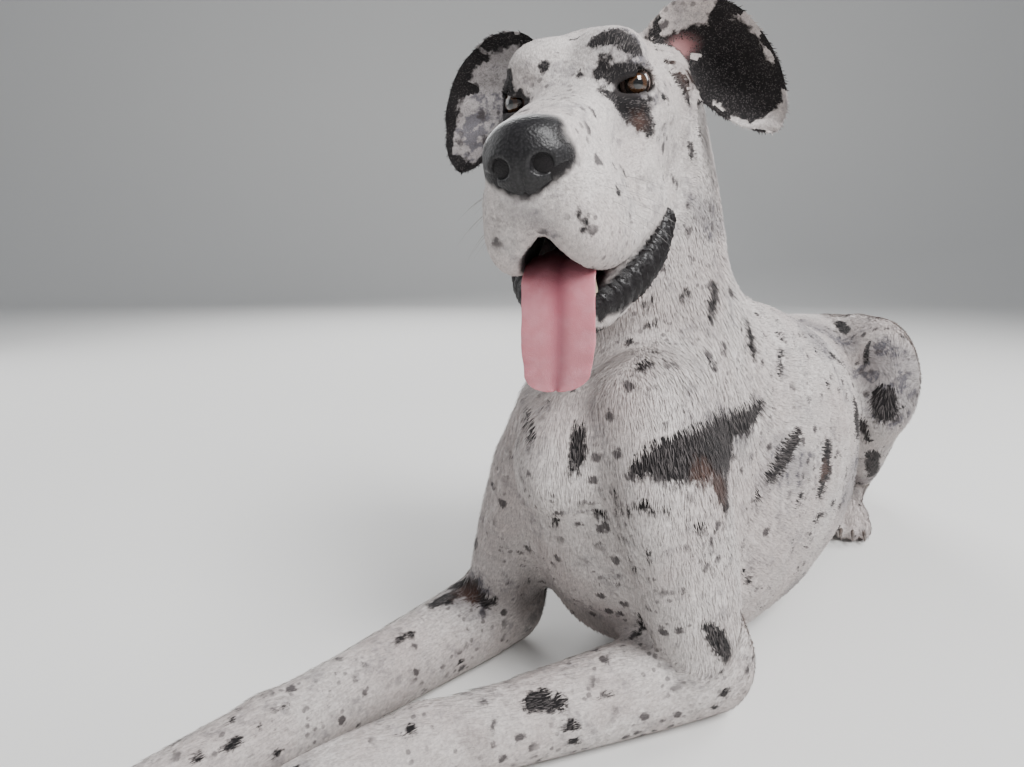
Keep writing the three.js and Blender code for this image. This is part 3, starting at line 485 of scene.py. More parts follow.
# Folds and muscles: chains of points with how wide each is and how far it sinks (or rises, below 0).
HEAD_FOLDS = [
    (4, 2.2, [[33, -14, -4], [40, -20, -18], [56, -14, -24], [68, 4, -20]]),
    (3, 1.4, [[30, -24, -12], [40, -32, -30], [56, -24, -36]]),
    (5, 2.0, [[30, -16, 14], [42, -14, 22], [60, -2, 22]]),
    (8, 3.0, [[0, -26, 20], [0, 6, 40], [0, 60, 52]]),
    (4, 1.8, [[12, -24, 18], [18, -8, 36]]),
    (14, 2.5, [[60, 40, 22], [70, 56, 14]]),
    (9, -3.0, [[62, 12, -22], [72, 48, -26]]),
    (6, 1.5, [[56, -44, -60], [62, -14, -78], [70, 14, -96]]),
    (5, 1.6, [[62, 16, -50], [72, 34, -74], [74, 44, -104]]),
    (5, -2.6, [[34, -6, 16], [46, -6, 19], [60, 4, 15]]),
    (4, -2.2, [[36, -12, -15], [50, -12, -19], [64, 2, -14]]),
    (4, -3.4, [[69, 26, -92], [74, 34, -106], [70, 30, -124]]),
    (7, 2.4, [[46, -70, -50], [54, -40, -58], [58, -16, -52]]),
    (4, 1.6, [[50, -96, -84], [56, -70, -92], [60, -44, -92]]),
    (3, 1.4, [[44, -116, -74], [50, -90, -70]]),
    (6, 2.6, [[64, 70, -86], [58, 84, -118], [40, 96, -140]]),
    (6, 2.4, [[72, 60, -60], [72, 84, -90], [60, 104, -120]]),
    (12, -3.0, [[40, -112, -66], [46, -92, -84]]),
]
BODY_FOLDS = [
    (16, -5.0, [[92, 30, 410], [112, -20, 330], [126, -60, 270]]),
    (18, 6.0, [[140, 70, 380], [152, 80, 300], [160, 80, 210], [150, 60, 130]]),
    (16, 5.0, [[84, -110, 300], [72, -130, 240], [60, -110, 180]]),
    (22, -7.0, [[20, -152, 330], [20, -150, 250], [20, -120, 180]]),
    (12, 4.5, [[84, 0, 560], [72, -60, 470], [56, -104, 390], [36, -130, 350]]),
    (9, -3.5, [[70, -20, 560], [58, -76, 470], [40, -114, 400]]),
    (14, 4.0, [[88, 60, 520], [100, 60, 440], [110, 50, 380]]),
    (10, 3.6, [[150, 20, 120], [110, -40, 104], [80, -60, 90]]),
    (20, 7.0, [[150, 450, 330], [170, 480, 250], [160, 480, 170]]),
    (16, 5.0, [[130, 640, 340], [190, 620, 250], [190, 640, 160]]),
    (16, -5.0, [[96, 560, 362], [70, 650, 372]]),
    (9, 3.0, [[120, -60, 88], [60, -140, 84], [10, -210, 78]]),
]
for _k in range(7):
    _y = 150 + 38 * _k
    _rib = [[150, _y, 350], [184, _y + 22, 270], [188, _y + 34, 190], [168, _y + 30, 120]]
    BODY_FOLDS.append((9, 2.0, _rib))


def worked(p, folds, middle=0.0):
    """How far the folds sink the surface at each point."""
    out = np.zeros(len(p))
    q = np.abs(p - [middle, 0, 0]) * [1, 0, 0] + p * [0, 1, 1] + [middle, 0, 0]
    for wide, deep, chain in folds:
        chain = np.array(chain, float)
        near = ((q > chain.min(0) - 2.6 * wide) & (q < chain.max(0) + 2.6 * wide)).all(1)
        if not near.any():
            continue
        r, best = q[near], np.full(near.sum(), 1e9)
        for a, b in zip(chain, chain[1:]):
            t = np.clip((r - a) @ (b - a) / ((b - a) @ (b - a)), 0, 1)
            best = np.minimum(best, ((r - a - t[:, None] * (b - a)) ** 2).sum(1))
        out[near] += deep * np.exp(-best / wide ** 2)
    return out


def head_measure(p):
    """The head with its jaw, lids and the hollow of the mouth, in its own frame."""
    d = soften(skull(p), flews(p), 18)
    d = np.maximum(d, -mouth(p))
    d = soften(d, soften(jaw(p), lips(p), 6), 3)
    d = soften(d, gullet(p), 20) + worked(p, HEAD_FOLDS)
    near = (np.abs(np.abs(p[:, 0]) - EYE["x"]) < 45) & (np.abs(p[:, 1]) < 60) & (np.abs(p[:, 2]) < 45)
    if near.any():
        q = p[near]
        e = soften(d[near], eyelids(q), 9)
        e = -soften(-e, slits(q), 2)
        d[near] = -soften(-e, sockets(q), 1)
    return d


head = fuse(12, Form((-96, -175, -190), (96, 175, 85), head_measure), *pair(ear_root))


def body_measure():
    forelegs = [fuse(16, LIMBS["upper_" + s], LIMBS["lower_" + s]) for s in ("left", "right")]
    hind = [fuse(14, LIMBS["thigh_" + s], LIMBS["shank_" + s]) for s in ("left", "right")]
    blades = pair(lambda s: egg((20 + s * 64, 66, 332), (38, 76, 108), (18, 0, 0)))
    trunk = fuse(60, LIMBS["trunk"], LIMBS["neck"], *blades)
    torso = fuse(34, trunk, *forelegs, *hind)
    hands = [fuse(10, LIMBS["hand_" + s], toes(FORELEGS[s]["hand"])) for s in ("left", "right")]
    feet = [fuse(10, LIMBS["foot_" + s], toes(HIND_LEGS[s]["foot"])) for s in ("left", "right")]
    body = fuse(12, torso, *hands, *feet)
    body = fuse(30, body, LIMBS["tail"], in_head(head))

    def measure(p):
        dressed = body(p) + worked(p, BODY_FOLDS, MIDDLE) + COAT_DEPTH
        return np.maximum(dressed, LOWEST - p[:, 2])

    return Form(body.low * [1, 1, 0], body.high, measure)


skin_form = body_measure()


# Meshing

FAR = 1e3


def grid(form, cell, block=8):
    """The form's distances on a grid, worked out only near its surface."""
    low = form.low - 2 * cell
    shape = np.ceil((form.high - form.low + 4 * cell) / cell / block).astype(int) * block
    sides = [low[i] + (np.arange(0, shape[i], block) + block / 2) * cell for i in range(3)]
    centres = np.stack(np.meshgrid(*sides, indexing="ij"), -1)
    coarse = form(centres.reshape(-1, 3)).reshape(centres.shape[:3])
    field = np.sign(coarse) * FAR
    for axis in range(3):
        field = np.repeat(field, block, axis)
    field = field.astype(np.float32)
    reach = block * cell * 0.87 * 1.7
    cells = np.argwhere(np.abs(coarse) < reach)
    inner = np.stack(np.meshgrid(*[np.arange(block)] * 3, indexing="ij"), -1).reshape(-1, 3)
    for start in range(0, len(cells), 256):
        index = (cells[start:start + 256, None] * block + inner[None]).reshape(-1, 3)
        field[tuple(index.T)] = form(low + index * cell)
    return field, low


CORNERS = np.array([[c & 1, (c >> 1) & 1, c >> 2] for c in range(8)])
EDGES = np.array([(a, a | b) for a in range(8) for b in (1, 2, 4) if not a & b])


def surface(form, cell):
    """Points and quads of a form's surface, one point for each cell that it crosses."""
    field, low = grid(form, cell)
    inside = field < 0
    n = np.array(field.shape)
    count = 0
    for c in CORNERS:
        end = n - 1 + c
        count = count + inside[c[0]:end[0], c[1]:end[1], c[2]:end[2]].astype(np.int8)
    cells = np.argwhere((count > 0) & (count < 8))
    corner = cells[:, None] + CORNERS[None]
    value = field[corner[..., 0], corner[..., 1], corner[..., 2]]
    a, b = value[:, EDGES[:, 0]], value[:, EDGES[:, 1]]
    cut = (a < 0) != (b < 0)
    t = np.where(cut, a / np.where(cut, a - b, 1), 0)[..., None]
    spots = CORNERS[EDGES[:, 0]][None] * (1 - t) + CORNERS[EDGES[:, 1]][None] * t
    points = (spots * cut[..., None]).sum(1) / cut.sum(1)[:, None] + cells
    number = np.full(field.shape, -1)
    number[tuple(cells.T)] = np.arange(len(cells))
    quads = []
    for axis in range(3):
        first = np.take(inside, range(n[axis] - 1), axis)
        second = np.take(inside, range(1, n[axis]), axis)
        for facing in (True, False):
            spot = np.argwhere(first & ~second if facing else ~first & second)
            u, v = (axis + 1) % 3, (axis + 2) % 3
            ring = []
            for du, dv in ((1, 1), (0, 1), (0, 0), (1, 0)):
                q = spot.copy()
                q[:, u] -= du
                q[:, v] -= dv
                ring.append(number[tuple(q.T)])
            ring = np.stack(ring, 1)
            quads.append(ring if facing else ring[:, ::-1])
    quads = np.vstack(quads)
    return points * cell + low, quads[(quads >= 0).all(1)]


def slope(form, points, step=0.8):
    return np.stack([form(points + d) - form(points - d) for d in np.eye(3) * step], 1) / (2 * step)


def settle(form, points, rounds=2, most=4.0):
    """Moves points onto the form's surface."""
    for _ in range(rounds):
        g = slope(form, points)
        move = -form(points) / np.maximum((g ** 2).sum(1), 0.05)
        points = points + g * np.clip(move, -most, most)[:, None]
    return points


def mesh_object(name, points, faces):
    """A mesh object from points in millimetres in the dog's frame."""
    mesh = bpy.data.meshes.new(name)
    mesh.vertices.add(len(points))
    mesh.vertices.foreach_set("co", ((np.asarray(points) + SHIFT) * MM).astype(np.float32).ravel())
    mesh.loops.add(faces.size)
    mesh.polygons.add(len(faces))
    mesh.loops.foreach_set("vertex_index", faces.ravel())
    mesh.polygons.foreach_set("loop_start", np.arange(len(faces)) * faces.shape[1])
    mesh.update(calc_edges=True)
    mesh.validate()
    mesh.shade_smooth()
    made = bpy.data.objects.new(name, mesh)
    bpy.context.scene.collection.objects.link(made)
    return made


def coordinates(mesh):
    out = np.empty(len(mesh.vertices) * 3, np.float32)
    mesh.vertices.foreach_get("co", out)
    return out.reshape(-1, 3).astype(float) / MM - SHIFT


def put(mesh, name, values):
    """Stores a value for each vertex."""
    layer = mesh.attributes.new(name, "FLOAT", "POINT")
    layer.data.foreach_set("value", np.asarray(values, np.float32).ravel())


def refine(obj, form, chosen, rounds=2):
    """Splits the edges that lie among the chosen points once, and sets the points on the form again."""
    mesh = obj.data
    flags = chosen(coordinates(mesh))
    work = bmesh.new()
    work.from_mesh(mesh)
    work.verts.ensure_lookup_table()
    edges = [e for e in work.edges if flags[e.verts[0].index] and flags[e.verts[1].index]]
    bmesh.ops.subdivide_edges(work, edges=edges, cuts=1, use_grid_fill=True)
    work.to_mesh(mesh)
    work.free()
    p = coordinates(mesh)
    flags = chosen(p)
    p[flags] = settle(form, p[flags], rounds)
    mesh.vertices.foreach_set("co", ((p + SHIFT) * MM).astype(np.float32).ravel())
    mesh.update()


# Camera rays, for marks that are placed where the photo shows them

def camera_axes():
    yaw, pitch = math.radians(CAMERA_YAW), math.radians(CAMERA_PITCH)
    right = np.array([math.cos(yaw), math.sin(yaw), 0])
    level = np.array([-math.sin(yaw), math.cos(yaw), 0])
    ahead = level * math.cos(pitch) - np.array([0, 0, math.sin(pitch)])
    up = level * math.sin(pitch) + np.array([0, 0, math.cos(pitch)])
    return right, ahead, up


def seen_at(pixels):
    """Where rays through these pixels of the photo meet the skin, and how far away."""
    right, ahead, up = camera_axes()
    x = (pixels[:, 0] - PICTURE[0] / 2) / FOCAL_PIXELS
    y = (PICTURE[1] / 2 - pixels[:, 1]) / FOCAL_PIXELS
    ray = ahead + x[:, None] * right + y[:, None] * up
    long = np.linalg.norm(ray, axis=1)
    depth = np.full(len(pixels), 300.0)
    for _ in range(60):
        d = skin_form(np.array(CAMERA_AT, float) + ray * depth[:, None])
        depth += np.clip(d, -20, 60) * 0.7 / long
    return np.array(CAMERA_AT, float) + ray * depth[:, None], depth, np.abs(d) < 4


# Marks: chains of [x, y, radius] in pixels of the photo.
BLACK = [
    [[600, 92, 7], [620, 102, 12], [640, 114, 15], [648, 128, 10]],
    [[612, 78, 7], [632, 72, 9], [652, 80, 7]],
    [[596, 42, 7], [615, 35, 11], [634, 46, 10]], [[628, 24, 6], [648, 27, 7], [660, 34, 6]],
    [[604, 62, 4], [598, 76, 5]],
    [[670, 62, 6], [680, 80, 8], [688, 98, 7]], [[543, 66, 4], [541, 72, 3]], [[580, 74, 3]],
    [[556, 56, 2]],
    [[688, 146, 4], [690, 160, 3]], [[614, 166, 2]], [[676, 186, 4]], [[640, 200, 3]],
    [[716, 178, 3], [722, 200, 5], [725, 230, 4]], [[712, 280, 4], [711, 300, 5], [709, 318, 3]],
    [[745, 320, 5], [750, 342, 7], [752, 354, 4]], [[780, 352, 4], [779, 374, 4]],
    [[706, 362, 3], [712, 357, 3]],
    [[776, 300, 4], [775, 320, 3]], [[640, 366, 4], [648, 362, 3]], [[630, 340, 3]],
    [[527, 410, 3], [531, 424, 5], [534, 438, 4]], [[551, 399, 3]],
    [[578, 428, 7], [577, 450, 9], [575, 468, 6]],
    [[628, 508, 4], [642, 504, 6], [654, 506, 4]],
    [[640, 464, 10], [664, 454, 17], [690, 446, 20], [716, 432, 19], [744, 420, 15], [760, 404, 7]],
    [[668, 470, 10], [700, 464, 16], [728, 454, 16]], [[718, 478, 14], [724, 496, 11], [727, 508, 6]],
    [[826, 448, 10], [824, 472, 12], [819, 492, 8]], [[794, 438, 10], [782, 456, 12], [768, 476, 8]],
    [[757, 492, 5], [752, 506, 4]], [[800, 494, 5], [794, 510, 4]], [[818, 516, 4], [812, 524, 3]],
    [[852, 400, 3], [862, 420, 4], [868, 440, 3]], [[706, 622, 5], [716, 636, 10], [728, 652, 8]],
    [[722, 672, 4]], [[528, 702, 8], [546, 698, 11], [560, 702, 8]], [[572, 728, 9], [576, 738, 9]],
    [[410, 730, 7]],
    [[743, 570, 3], [746, 582, 3]], [[458, 584, 9], [474, 590, 11], [490, 600, 9]],
    [[436, 602, 8], [452, 596, 8]],
    [[640, 632, 3]], [[412, 632, 4], [400, 640, 3]], [[286, 706, 4]], [[228, 746, 7], [240, 740, 5]],
    [[200, 757, 7]],
    [[868, 345, 4], [866, 362, 4]], [[838, 322, 5], [846, 332, 4]],
    [[812, 334, 3], [826, 350, 3], [842, 366, 3]],
    [[884, 396, 12], [886, 412, 11]], [[872, 452, 7], [874, 474, 6]],
]
BROWN = [
    [[676, 62, 8], [688, 84, 9]], [[786, 302, 11], [800, 322, 12]], [[700, 470, 14], [722, 490, 12]],
    [[466, 738, 9], [484, 744, 13]], [[470, 592, 14]], [[822, 470, 10]], [[640, 122, 9]],
]
GREY = [
    [[620, 40, 22], [640, 60, 14]], [[632, 100, 28]], [[890, 370, 34], [900, 400, 30]],
    [[815, 325, 22], [845, 345, 16]],
    [[780, 455, 22], [800, 470, 20]], [[700, 440, 26], [740, 430, 20]], [[526, 212, 16], [540, 222, 12]],
    [[470, 590, 24]], [[700, 210, 18], [720, 220, 12]], [[760, 480, 14]],
]


def marks_on_skin(chains):
    """The chains' places and radii on the skin, in millimetres: lists of (start, end, radius, radius)."""
    flat = np.array([spot for chain in chains for spot in chain], float)
    places, depth, hit = seen_at(flat)
    radius = flat[:, 2] * depth / FOCAL_PIXELS
    out, k = [], 0
    for chain in chains:
        use = [i for i in range(k, k + len(chain)) if hit[i]]
        out += [(places[i], places[j], radius[i], radius[j]) for i, j in zip(use, use[1:] or use)]
        k += len(chain)
    return out


def hidden_marks(points, normals, side, count, low, high, seed, everywhere=False):
    """Seeded marks with radii from low to high where the photo doesn't show the skin, or everywhere."""
    random = np.random.default_rng(seed)
    away = everywhere | (((points - CAMERA_AT) * normals).sum(1) > -40)
    below = points[:, 2] > 12
    pool = np.flatnonzero(away & below & side(points))
    out = []
    for spot in random.choice(pool, count):
        run = np.cross(normals[spot], random.normal(size=3))
        run /= np.linalg.norm(run)
        place, size = points[spot], random.uniform(low, high)
        for _ in range(random.integers(1, 4)):
            after = place + run * size * random.uniform(0.6, 1.6)
            out.append((place, after, size, size * 0.75))
            place, size = after, size * random.uniform(0.6, 0.95)
            run = run + random.normal(size=3) * 0.4
            run /= np.linalg.norm(run)
    return out


MARK_REACH = 60.0


def nearest_mark(points, marks):
    """The distance from each point to the nearest mark, negative inside it."""
    best = np.full(len(points), MARK_REACH)
    for a, b, ra, rb in marks:
        reach = np.linalg.norm(b - a) / 2 + max(ra, rb) + MARK_REACH
        near = np.flatnonzero(((points - (a + b) / 2) ** 2).sum(1) < reach ** 2)
        if not len(near):
            continue
        p, run = points[near], b - a
        t = np.clip((p - a) @ run / max(run @ run, 1e-6), 0, 1)
        gap = np.linalg.norm(p - a - t[:, None] * run, axis=1) - (ra + (rb - ra) * t)
        best[near] = np.minimum(best[near], gap)
    return best


# Attributes of the skin: what each point is covered with

def field_marks(points, normals):
    """The signed distances in millimetres to dark, brown and grey patches, for points on the skin."""
    dark = marks_on_skin(BLACK)
    brown = marks_on_skin(BROWN)
    grey = marks_on_skin(GREY)
    patches = {"count": 84, "low": 7, "high": 26, "seed": 5}
    spots = {"count": 60, "low": 4, "high": 11, "seed": 6}
    ticks = {"count": 330, "low": 1.6, "high": 4.4, "seed": 9, "everywhere": True}
    mottles = {"count": 26, "low": 22, "high": 55, "seed": 7}
    browns = {"count": 14, "low": 10, "high": 26, "seed": 8}
    dark += hidden_marks(points, normals, lambda p: p[:, 2] > 120, **patches)
    dark += hidden_marks(points, normals, lambda p: p[:, 2] < 200, **spots)
    dark += hidden_marks(points, normals, lambda p: p[:, 2] > 0, **ticks)
    grey += hidden_marks(points, normals, lambda p: p[:, 1] > 60, **mottles)
    brown += hidden_marks(points, normals, lambda p: p[:, 1] > 60, **browns)
    return nearest_mark(points, dark), nearest_mark(points, brown), nearest_mark(points, grey)


def ease(value, low, high):
    t = np.clip((value - low) / (high - low), 0, 1)
    return t * t * (3 - 2 * t)


COVERS = ("dark", "brown", "grey", "bare", "wet", "lid")


def coverage(points, normals):
    """What the skin is like at each point, as a dictionary of values."""
    q = to_head(points)
    dark, brown, grey = field_marks(points, normals)
    bare = np.zeros(len(points))
    wet = np.zeros(len(points))
    lid = np.zeros(len(points))
    near = np.abs(q).max(1) < 260
    h = q[near]
    inner = np.zeros(len(h))
    for s in (1, -1):
        v, w, along, _, end = ear_place(h, s)
        on = (np.abs(v) < 1.12) & (np.abs(w) < 3.6) & (end < 4) & (along > 0.03)
        front = on & (w < 0)
        rim = (np.abs(v) - 0.84) * 36
        if s > 0:
            root = np.minimum((v - 0.45) * 36, (0.34 - along) * 170)
            inside = np.maximum(np.maximum(rim, (along - 0.88) * 170), root)
            outside = 16 - 60 * ease(along, 0.24, 0.5)
        else:
            inside = np.minimum(-rim - 4, (0.9 - along) * 170)
            outside = 16 - 50 * ease(along, 0.24, 0.5)
        dark[near] = np.where(on, np.where(front, inside, outside), dark[near])
        canal = np.where(front, 1 - ease(np.hypot(v * 1.6, (along - 0.2) * 4.2), 0.2, 0.7), 0)
        inner = np.maximum(inner, canal)
        if s < 0:
            grey[near] = np.where(on, -24.0, grey[near])
    bare[near] = inner
    moist = np.maximum(1 - ease(mouth(h), 2.2, 5.0), 1 - ease(lips(h), 1.0, 4.0))
    wet[near] = np.where(h[:, 1] < 60, moist, 0)
    wet[near] = np.maximum(wet[near], 1 - ease(nose_form(h), 0.4, 2.4))
    rim = slits(h)
    ball = np.minimum(*[np.linalg.norm((h - [s * EYE["x"], EYE["y"], EYE["z"]]), axis=1) for s in (1, -1)])
    lid[near] = np.where(ball < 28, 1 - ease(rim, 1.8, 6.5), 0)
    return dict(zip(COVERS, (dark, brown, grey, bare, wet, lid)))


def lie(points, normals):
    """The way that the coat lies: back along the head, neck and trunk, and down the legs."""
    q = to_head(points)
    flow = np.tile(np.array([0.0, 1.0, -0.25]), (len(points), 1))
    # Down the neck and chest, and back over the trunk.
    chest = ease(-points[:, 1], -160, -20)[:, None] * ease(points[:, 2], 60, 300)[:, None]
    flow = flow * (1 - chest) + np.array([0, 0.25, -1.0]) * chest
    for side in ("left", "right"):
        for name in ("upper_", "lower_", "hand_", "thigh_", "shank_", "foot_"):
            limb = LIMBS[name + side]
            away = np.linalg.norm(np.maximum(np.maximum(limb.low - points, points - limb.high), 0), axis=1)
            near = np.flatnonzero(away < 5)
            if not len(near):
                continue
            _, index, _ = limb.nearest(points[near])
            weight = 1 - ease(limb(points[near]), 4, 26)
            ahead = limb.ahead[np.minimum(index, len(limb.ahead) - 1)]
            flow[near] = flow[near] * (1 - weight[:, None]) + ahead * weight[:, None]
    _, index, _ = LIMBS["tail"].nearest(points)
    on_tail = (1 - ease(LIMBS["tail"](points), 2, 20))[:, None]
    flow = flow * (1 - on_tail) + LIMBS["tail"].ahead[index] * on_tail
    # On the head the hair leaves the nose, fans round the eyes and runs back to the neck.
    on_head = (1 - ease(head(q), 6, 30))[:, None] * ease(-q[:, 1], -190, -130)[:, None]
    from_nose = q - [0, -165, -52]
    from_nose = from_nose / (np.linalg.norm(from_nose, axis=1)[:, None] + 1e-6)
    down = ease(-q[:, 2], 40, 110)[:, None] * ease(-q[:, 1], -20, 40)[:, None]
    from_nose = from_nose * (1 - 0.75 * down) + np.array([0, 0.25, -0.9]) * down
    for s in (1, -1):
        off = q - [s * EYE["x"], EYE["y"], EYE["z"]]
        far = np.linalg.norm(off, axis=1)[:, None]
        fan = 0.7 * np.exp(-(far / 34) ** 2)
        from_nose = from_nose * (1 - fan) + off / (far + 1e-6) * fan
        v, w, along, _, end = ear_place(q, s)
        on = ((np.abs(v) < 1.15) & (np.abs(w) < 7) & (end < 4) & (along > 0.03))[:, None]
        k = np.clip((along * 35).astype(int), 0, 34)
        step = np.diff(EAR_LINE[0], axis=0)[k] * [s, 1, 1]
        wide = EAR_LINE[3][k] * [s, 1, 1]
        step = step / np.linalg.norm(step, axis=1)[:, None] + wide * (v * 0.6)[:, None]
        from_nose = np.where(on, step, from_nose)
    flow = flow * (1 - on_head) + (from_nose @ HEAD_TURNED.T) * on_head
    flow = flow - normals * (flow * normals).sum(1)[:, None]
    size = np.linalg.norm(flow, axis=1)[:, None]
    spare = np.cross(normals, [1.0, 0.2, 0.1])
    spare = spare / (np.linalg.norm(spare, axis=1)[:, None] + 1e-6)
    return np.where(size > 0.05, flow / np.maximum(size, 1e-6), spare)


def unwrap(points, normals, low, high):
    """An unwrap of the skin's own shape: six charts, one for each way that it faces."""
    axis = np.abs(normals).argmax(1)
    back = np.take_along_axis(normals, axis[:, None], 1)[:, 0] < 0
    size = np.maximum(high - low, 1)
    share = np.clip((points - low) / size, 0, 1)
    u = np.where(axis == 0, share[:, 1], share[:, 0])
    v = np.where(axis == 2, share[:, 1], share[:, 2])
    return np.stack([(axis + 0.03 + 0.94 * u) / 3, (back + 0.03 + 0.94 * v) / 2], 1)


# Shading

class Nodes:
    """A short way to write a material's nodes."""

    def __init__(self, name):
        self.material = bpy.data.materials.new(name)
        self.material.use_nodes = True
        self.tree = self.material.node_tree
        self.tree.nodes.clear()
        self.out = self.add("ShaderNodeOutputMaterial")
        self.shader = self.add("ShaderNodeBsdfPrincipled")
        self.tree.links.new(self.shader.outputs[0], self.out.inputs[0])

    def add(self, kind, **settings):
        node = self.tree.nodes.new(kind)
        for key, value in settings.items():
            setattr(node, key, value)
        return node

    def link(self, source, target):
        if isinstance(source, (int, float, tuple, list)):
            target.default_value = source
        else:
            self.tree.links.new(source, target)

    def value(self, name):
        return self.add("ShaderNodeAttribute", attribute_name=name).outputs["Fac"]

    def math(self, operation, a, b=0.0, clamp=False):
        node = self.add("ShaderNodeMath", operation=operation, use_clamp=clamp)
        self.link(a, node.inputs[0])
        self.link(b, node.inputs[1])
        return node.outputs[0]

    def spread(self, a, low, high, to_low=0.0, to_high=1.0):
        node = self.add("ShaderNodeMapRange", interpolation_type="SMOOTHSTEP")
        for socket, value in zip(node.inputs, (a, low, high, to_low, to_high)):
            self.link(value, socket)
        return node.outputs[0]

    def noise(self, scale, detail=3.0, stretch=None, rough=0.6):
        node = self.add("ShaderNodeTexNoise")
        node.inputs["Scale"].default_value = scale
        node.inputs["Detail"].default_value = detail
        node.inputs["Roughness"].default_value = rough
        self.link(self.place(stretch), node.inputs["Vector"])
        return node.outputs["Fac"]

    def cells(self, scale, feature="F1"):
        node = self.add("ShaderNodeTexVoronoi", feature=feature)
        node.inputs["Scale"].default_value = scale
        self.link(self.place(), node.inputs["Vector"])
        return node.outputs["Distance"]

    def place(self, stretch=None):
        at = self.add("ShaderNodeTexCoord").outputs["Object"]
        if stretch is None:
            return at
        node = self.add("ShaderNodeVectorMath", operation="MULTIPLY")
        self.link(at, node.inputs[0])
        node.inputs[1].default_value = stretch
        return node.outputs[0]

    def mix(self, share, a, b):
        node = self.add("ShaderNodeMix", data_type="RGBA")
        self.link(share, node.inputs["Factor"])
        colours = [s for s in node.inputs if s.type == "RGBA"]
        self.link(a, colours[0])
        self.link(b, colours[1])
        return [s for s in node.outputs if s.type == "RGBA"][0]

    def bump(self, height, strength, distance):
        node = self.add("ShaderNodeBump")
        node.inputs["Strength"].default_value = strength
        node.inputs["Distance"].default_value = distance
        self.link(height, node.inputs["Height"])
        self.link(node.outputs[0], self.shader.inputs["Normal"])

    def set(self, **values):
        for key, value in values.items():
            self.link(value, self.shader.inputs[key.replace("_", " ")])
        return self.material


def coat_colour(n, colours):
    """The coat's colour from the markings and fine noise, the same on the skin and the tufts."""
    ragged = n.math("MULTIPLY", n.math("SUBTRACT", n.noise(170, 4), 0.5), 13.0)
    coarse = n.math("MULTIPLY", n.math("SUBTRACT", n.noise(42, 2), 0.5), 12.0)
    edge = n.math("ADD", ragged, coarse)
    dark = n.spread(n.math("ADD", n.value("dark"), edge), 2.4, -1.6)
    brown = n.spread(n.math("ADD", n.value("brown"), edge), 7.0, -7.0)
    grey = n.spread(n.math("ADD", n.value("grey"), n.math("MULTIPLY", edge, 1.6)), 16.0, -14.0)
    tone = n.spread(n.noise(9, 3), 0.36, 0.66)
    fine = n.spread(n.noise(300, 3), 0.3, 0.75)
    white = n.mix(tone, colours["white"], colours["cream"])
    # Fine noise pulls the white towards the Shade colour: painted shade between the hairs.
    white = n.mix(n.math("MULTIPLY", fine, 0.6), white, colours["pale"])
    often = n.math("ADD", n.math("MULTIPLY", grey, 0.8), 0.42)
    mottle = n.math("MULTIPLY", n.spread(n.noise(30, 5), 0.5, 0.64), often)
    mottle = n.math("MULTIPLY", mottle, n.spread(n.noise(110, 3), 0.4, 0.6))
    roan = n.math("ADD", n.math("MULTIPLY", grey, 0.5), mottle, clamp=True)
    base = n.mix(roan, white, colours["grey"])
    wander = n.math("MULTIPLY", n.noise(160, 3), 0.5)
    spots = n.cells(46)
    here = n.spread(n.noise(16, 2), 0.44, 0.56)
    flecks = n.math("MULTIPLY", n.spread(n.math("ADD", spots, wander), 0.56, 0.42), here)
    small = n.cells(105)
    specks = n.spread(n.math("ADD", small, wander), 0.58, 0.44)
    specks = n.math("MULTIPLY", specks, n.spread(n.noise(22, 2), 0.48, 0.6))
    flecks = n.math("MAXIMUM", flecks, n.math("MULTIPLY", specks, 0.7))
    base = n.mix(n.math("MULTIPLY", flecks, 0.9), base, colours["fleck"])
    black = n.mix(brown, colours["black"], colours["brown"])
    black = n.mix(n.math("MULTIPLY", fine, 0.35), black, colours["dusk"])
    base = n.mix(n.math("MULTIPLY", brown, 0.25), base, colours["brown"])
    return n.mix(dark, base, black)


def skin_material(colours):
    n = Nodes("dog skin")
    colour = coat_colour(n, colours)
    colour = n.mix(n.math("MULTIPLY", n.value("bare"), 0.8), colour, colours["pink"])
    colour = n.mix(n.value("lid"), colour, colours["rim"])
    colour = n.mix(n.value("wet"), colour, colours["gum"])
    rough = n.spread(n.value("wet"), 0.0, 1.0, 0.8, 0.3)
    n.bump(n.math("ADD", n.noise(900, 3), n.math("MULTIPLY", n.noise(240, 3), 0.8)), 0.55, 0.0012)
    return n.set(Base_Color=colour, Roughness=rough, Specular_IOR_Level=0.25, Sheen_Weight=0.05)


def fur_material(colours):
    n = Nodes("dog coat")
    colour = coat_colour(n, colours)
    tip = n.value("tip")
    own = n.value("own")
    # Each tuft moves a random share towards the Shade colour, which is random tone and painted shade
    # between the hairs; where the skin is bare it moves towards white instead.
    other = n.mix(n.value("bare"), colours["pale"], colours["white"])
    colour = n.mix(n.math("MULTIPLY", own, 0.3), colour, other)
    shade = n.spread(tip, 0.0, 0.6, 0.8, 1.0)
    node = n.add("ShaderNodeVectorMath", operation="SCALE")
    n.link(colour, node.inputs[0])
    n.link(shade, node.inputs["Scale"])
    return n.set(Base_Color=node.outputs[0], Roughness=0.7, Specular_IOR_Level=0.18)


def plain_material(name, colour, rough, **more):
    return Nodes(name).set(Base_Color=(*colour, 1), Roughness=rough, **more)


def rgb(prop):
    return (*prop[:3], 1.0)


# Settings that a user would change

def length(name, about, default, low=0.0, high=100.0):
    sizes = {"default": default, "min": low, "max": high}
    return FloatProperty(name=name, description=about, subtype="DISTANCE", unit="LENGTH", **sizes)


def factor(name, about, default, low=0.0):
    return FloatProperty(name=name, description=about, default=default, min=low, max=1, subtype="FACTOR")


def light_power(name, about, default):
    return FloatProperty(name=name, description=about, default=default, min=0, unit="POWER")


def colour(name, about, default):
    limits = {"size": 3, "min": 0, "max": 1, "subtype": "COLOR"}
    return FloatVectorProperty(name=name, description=about, default=default, **limits)


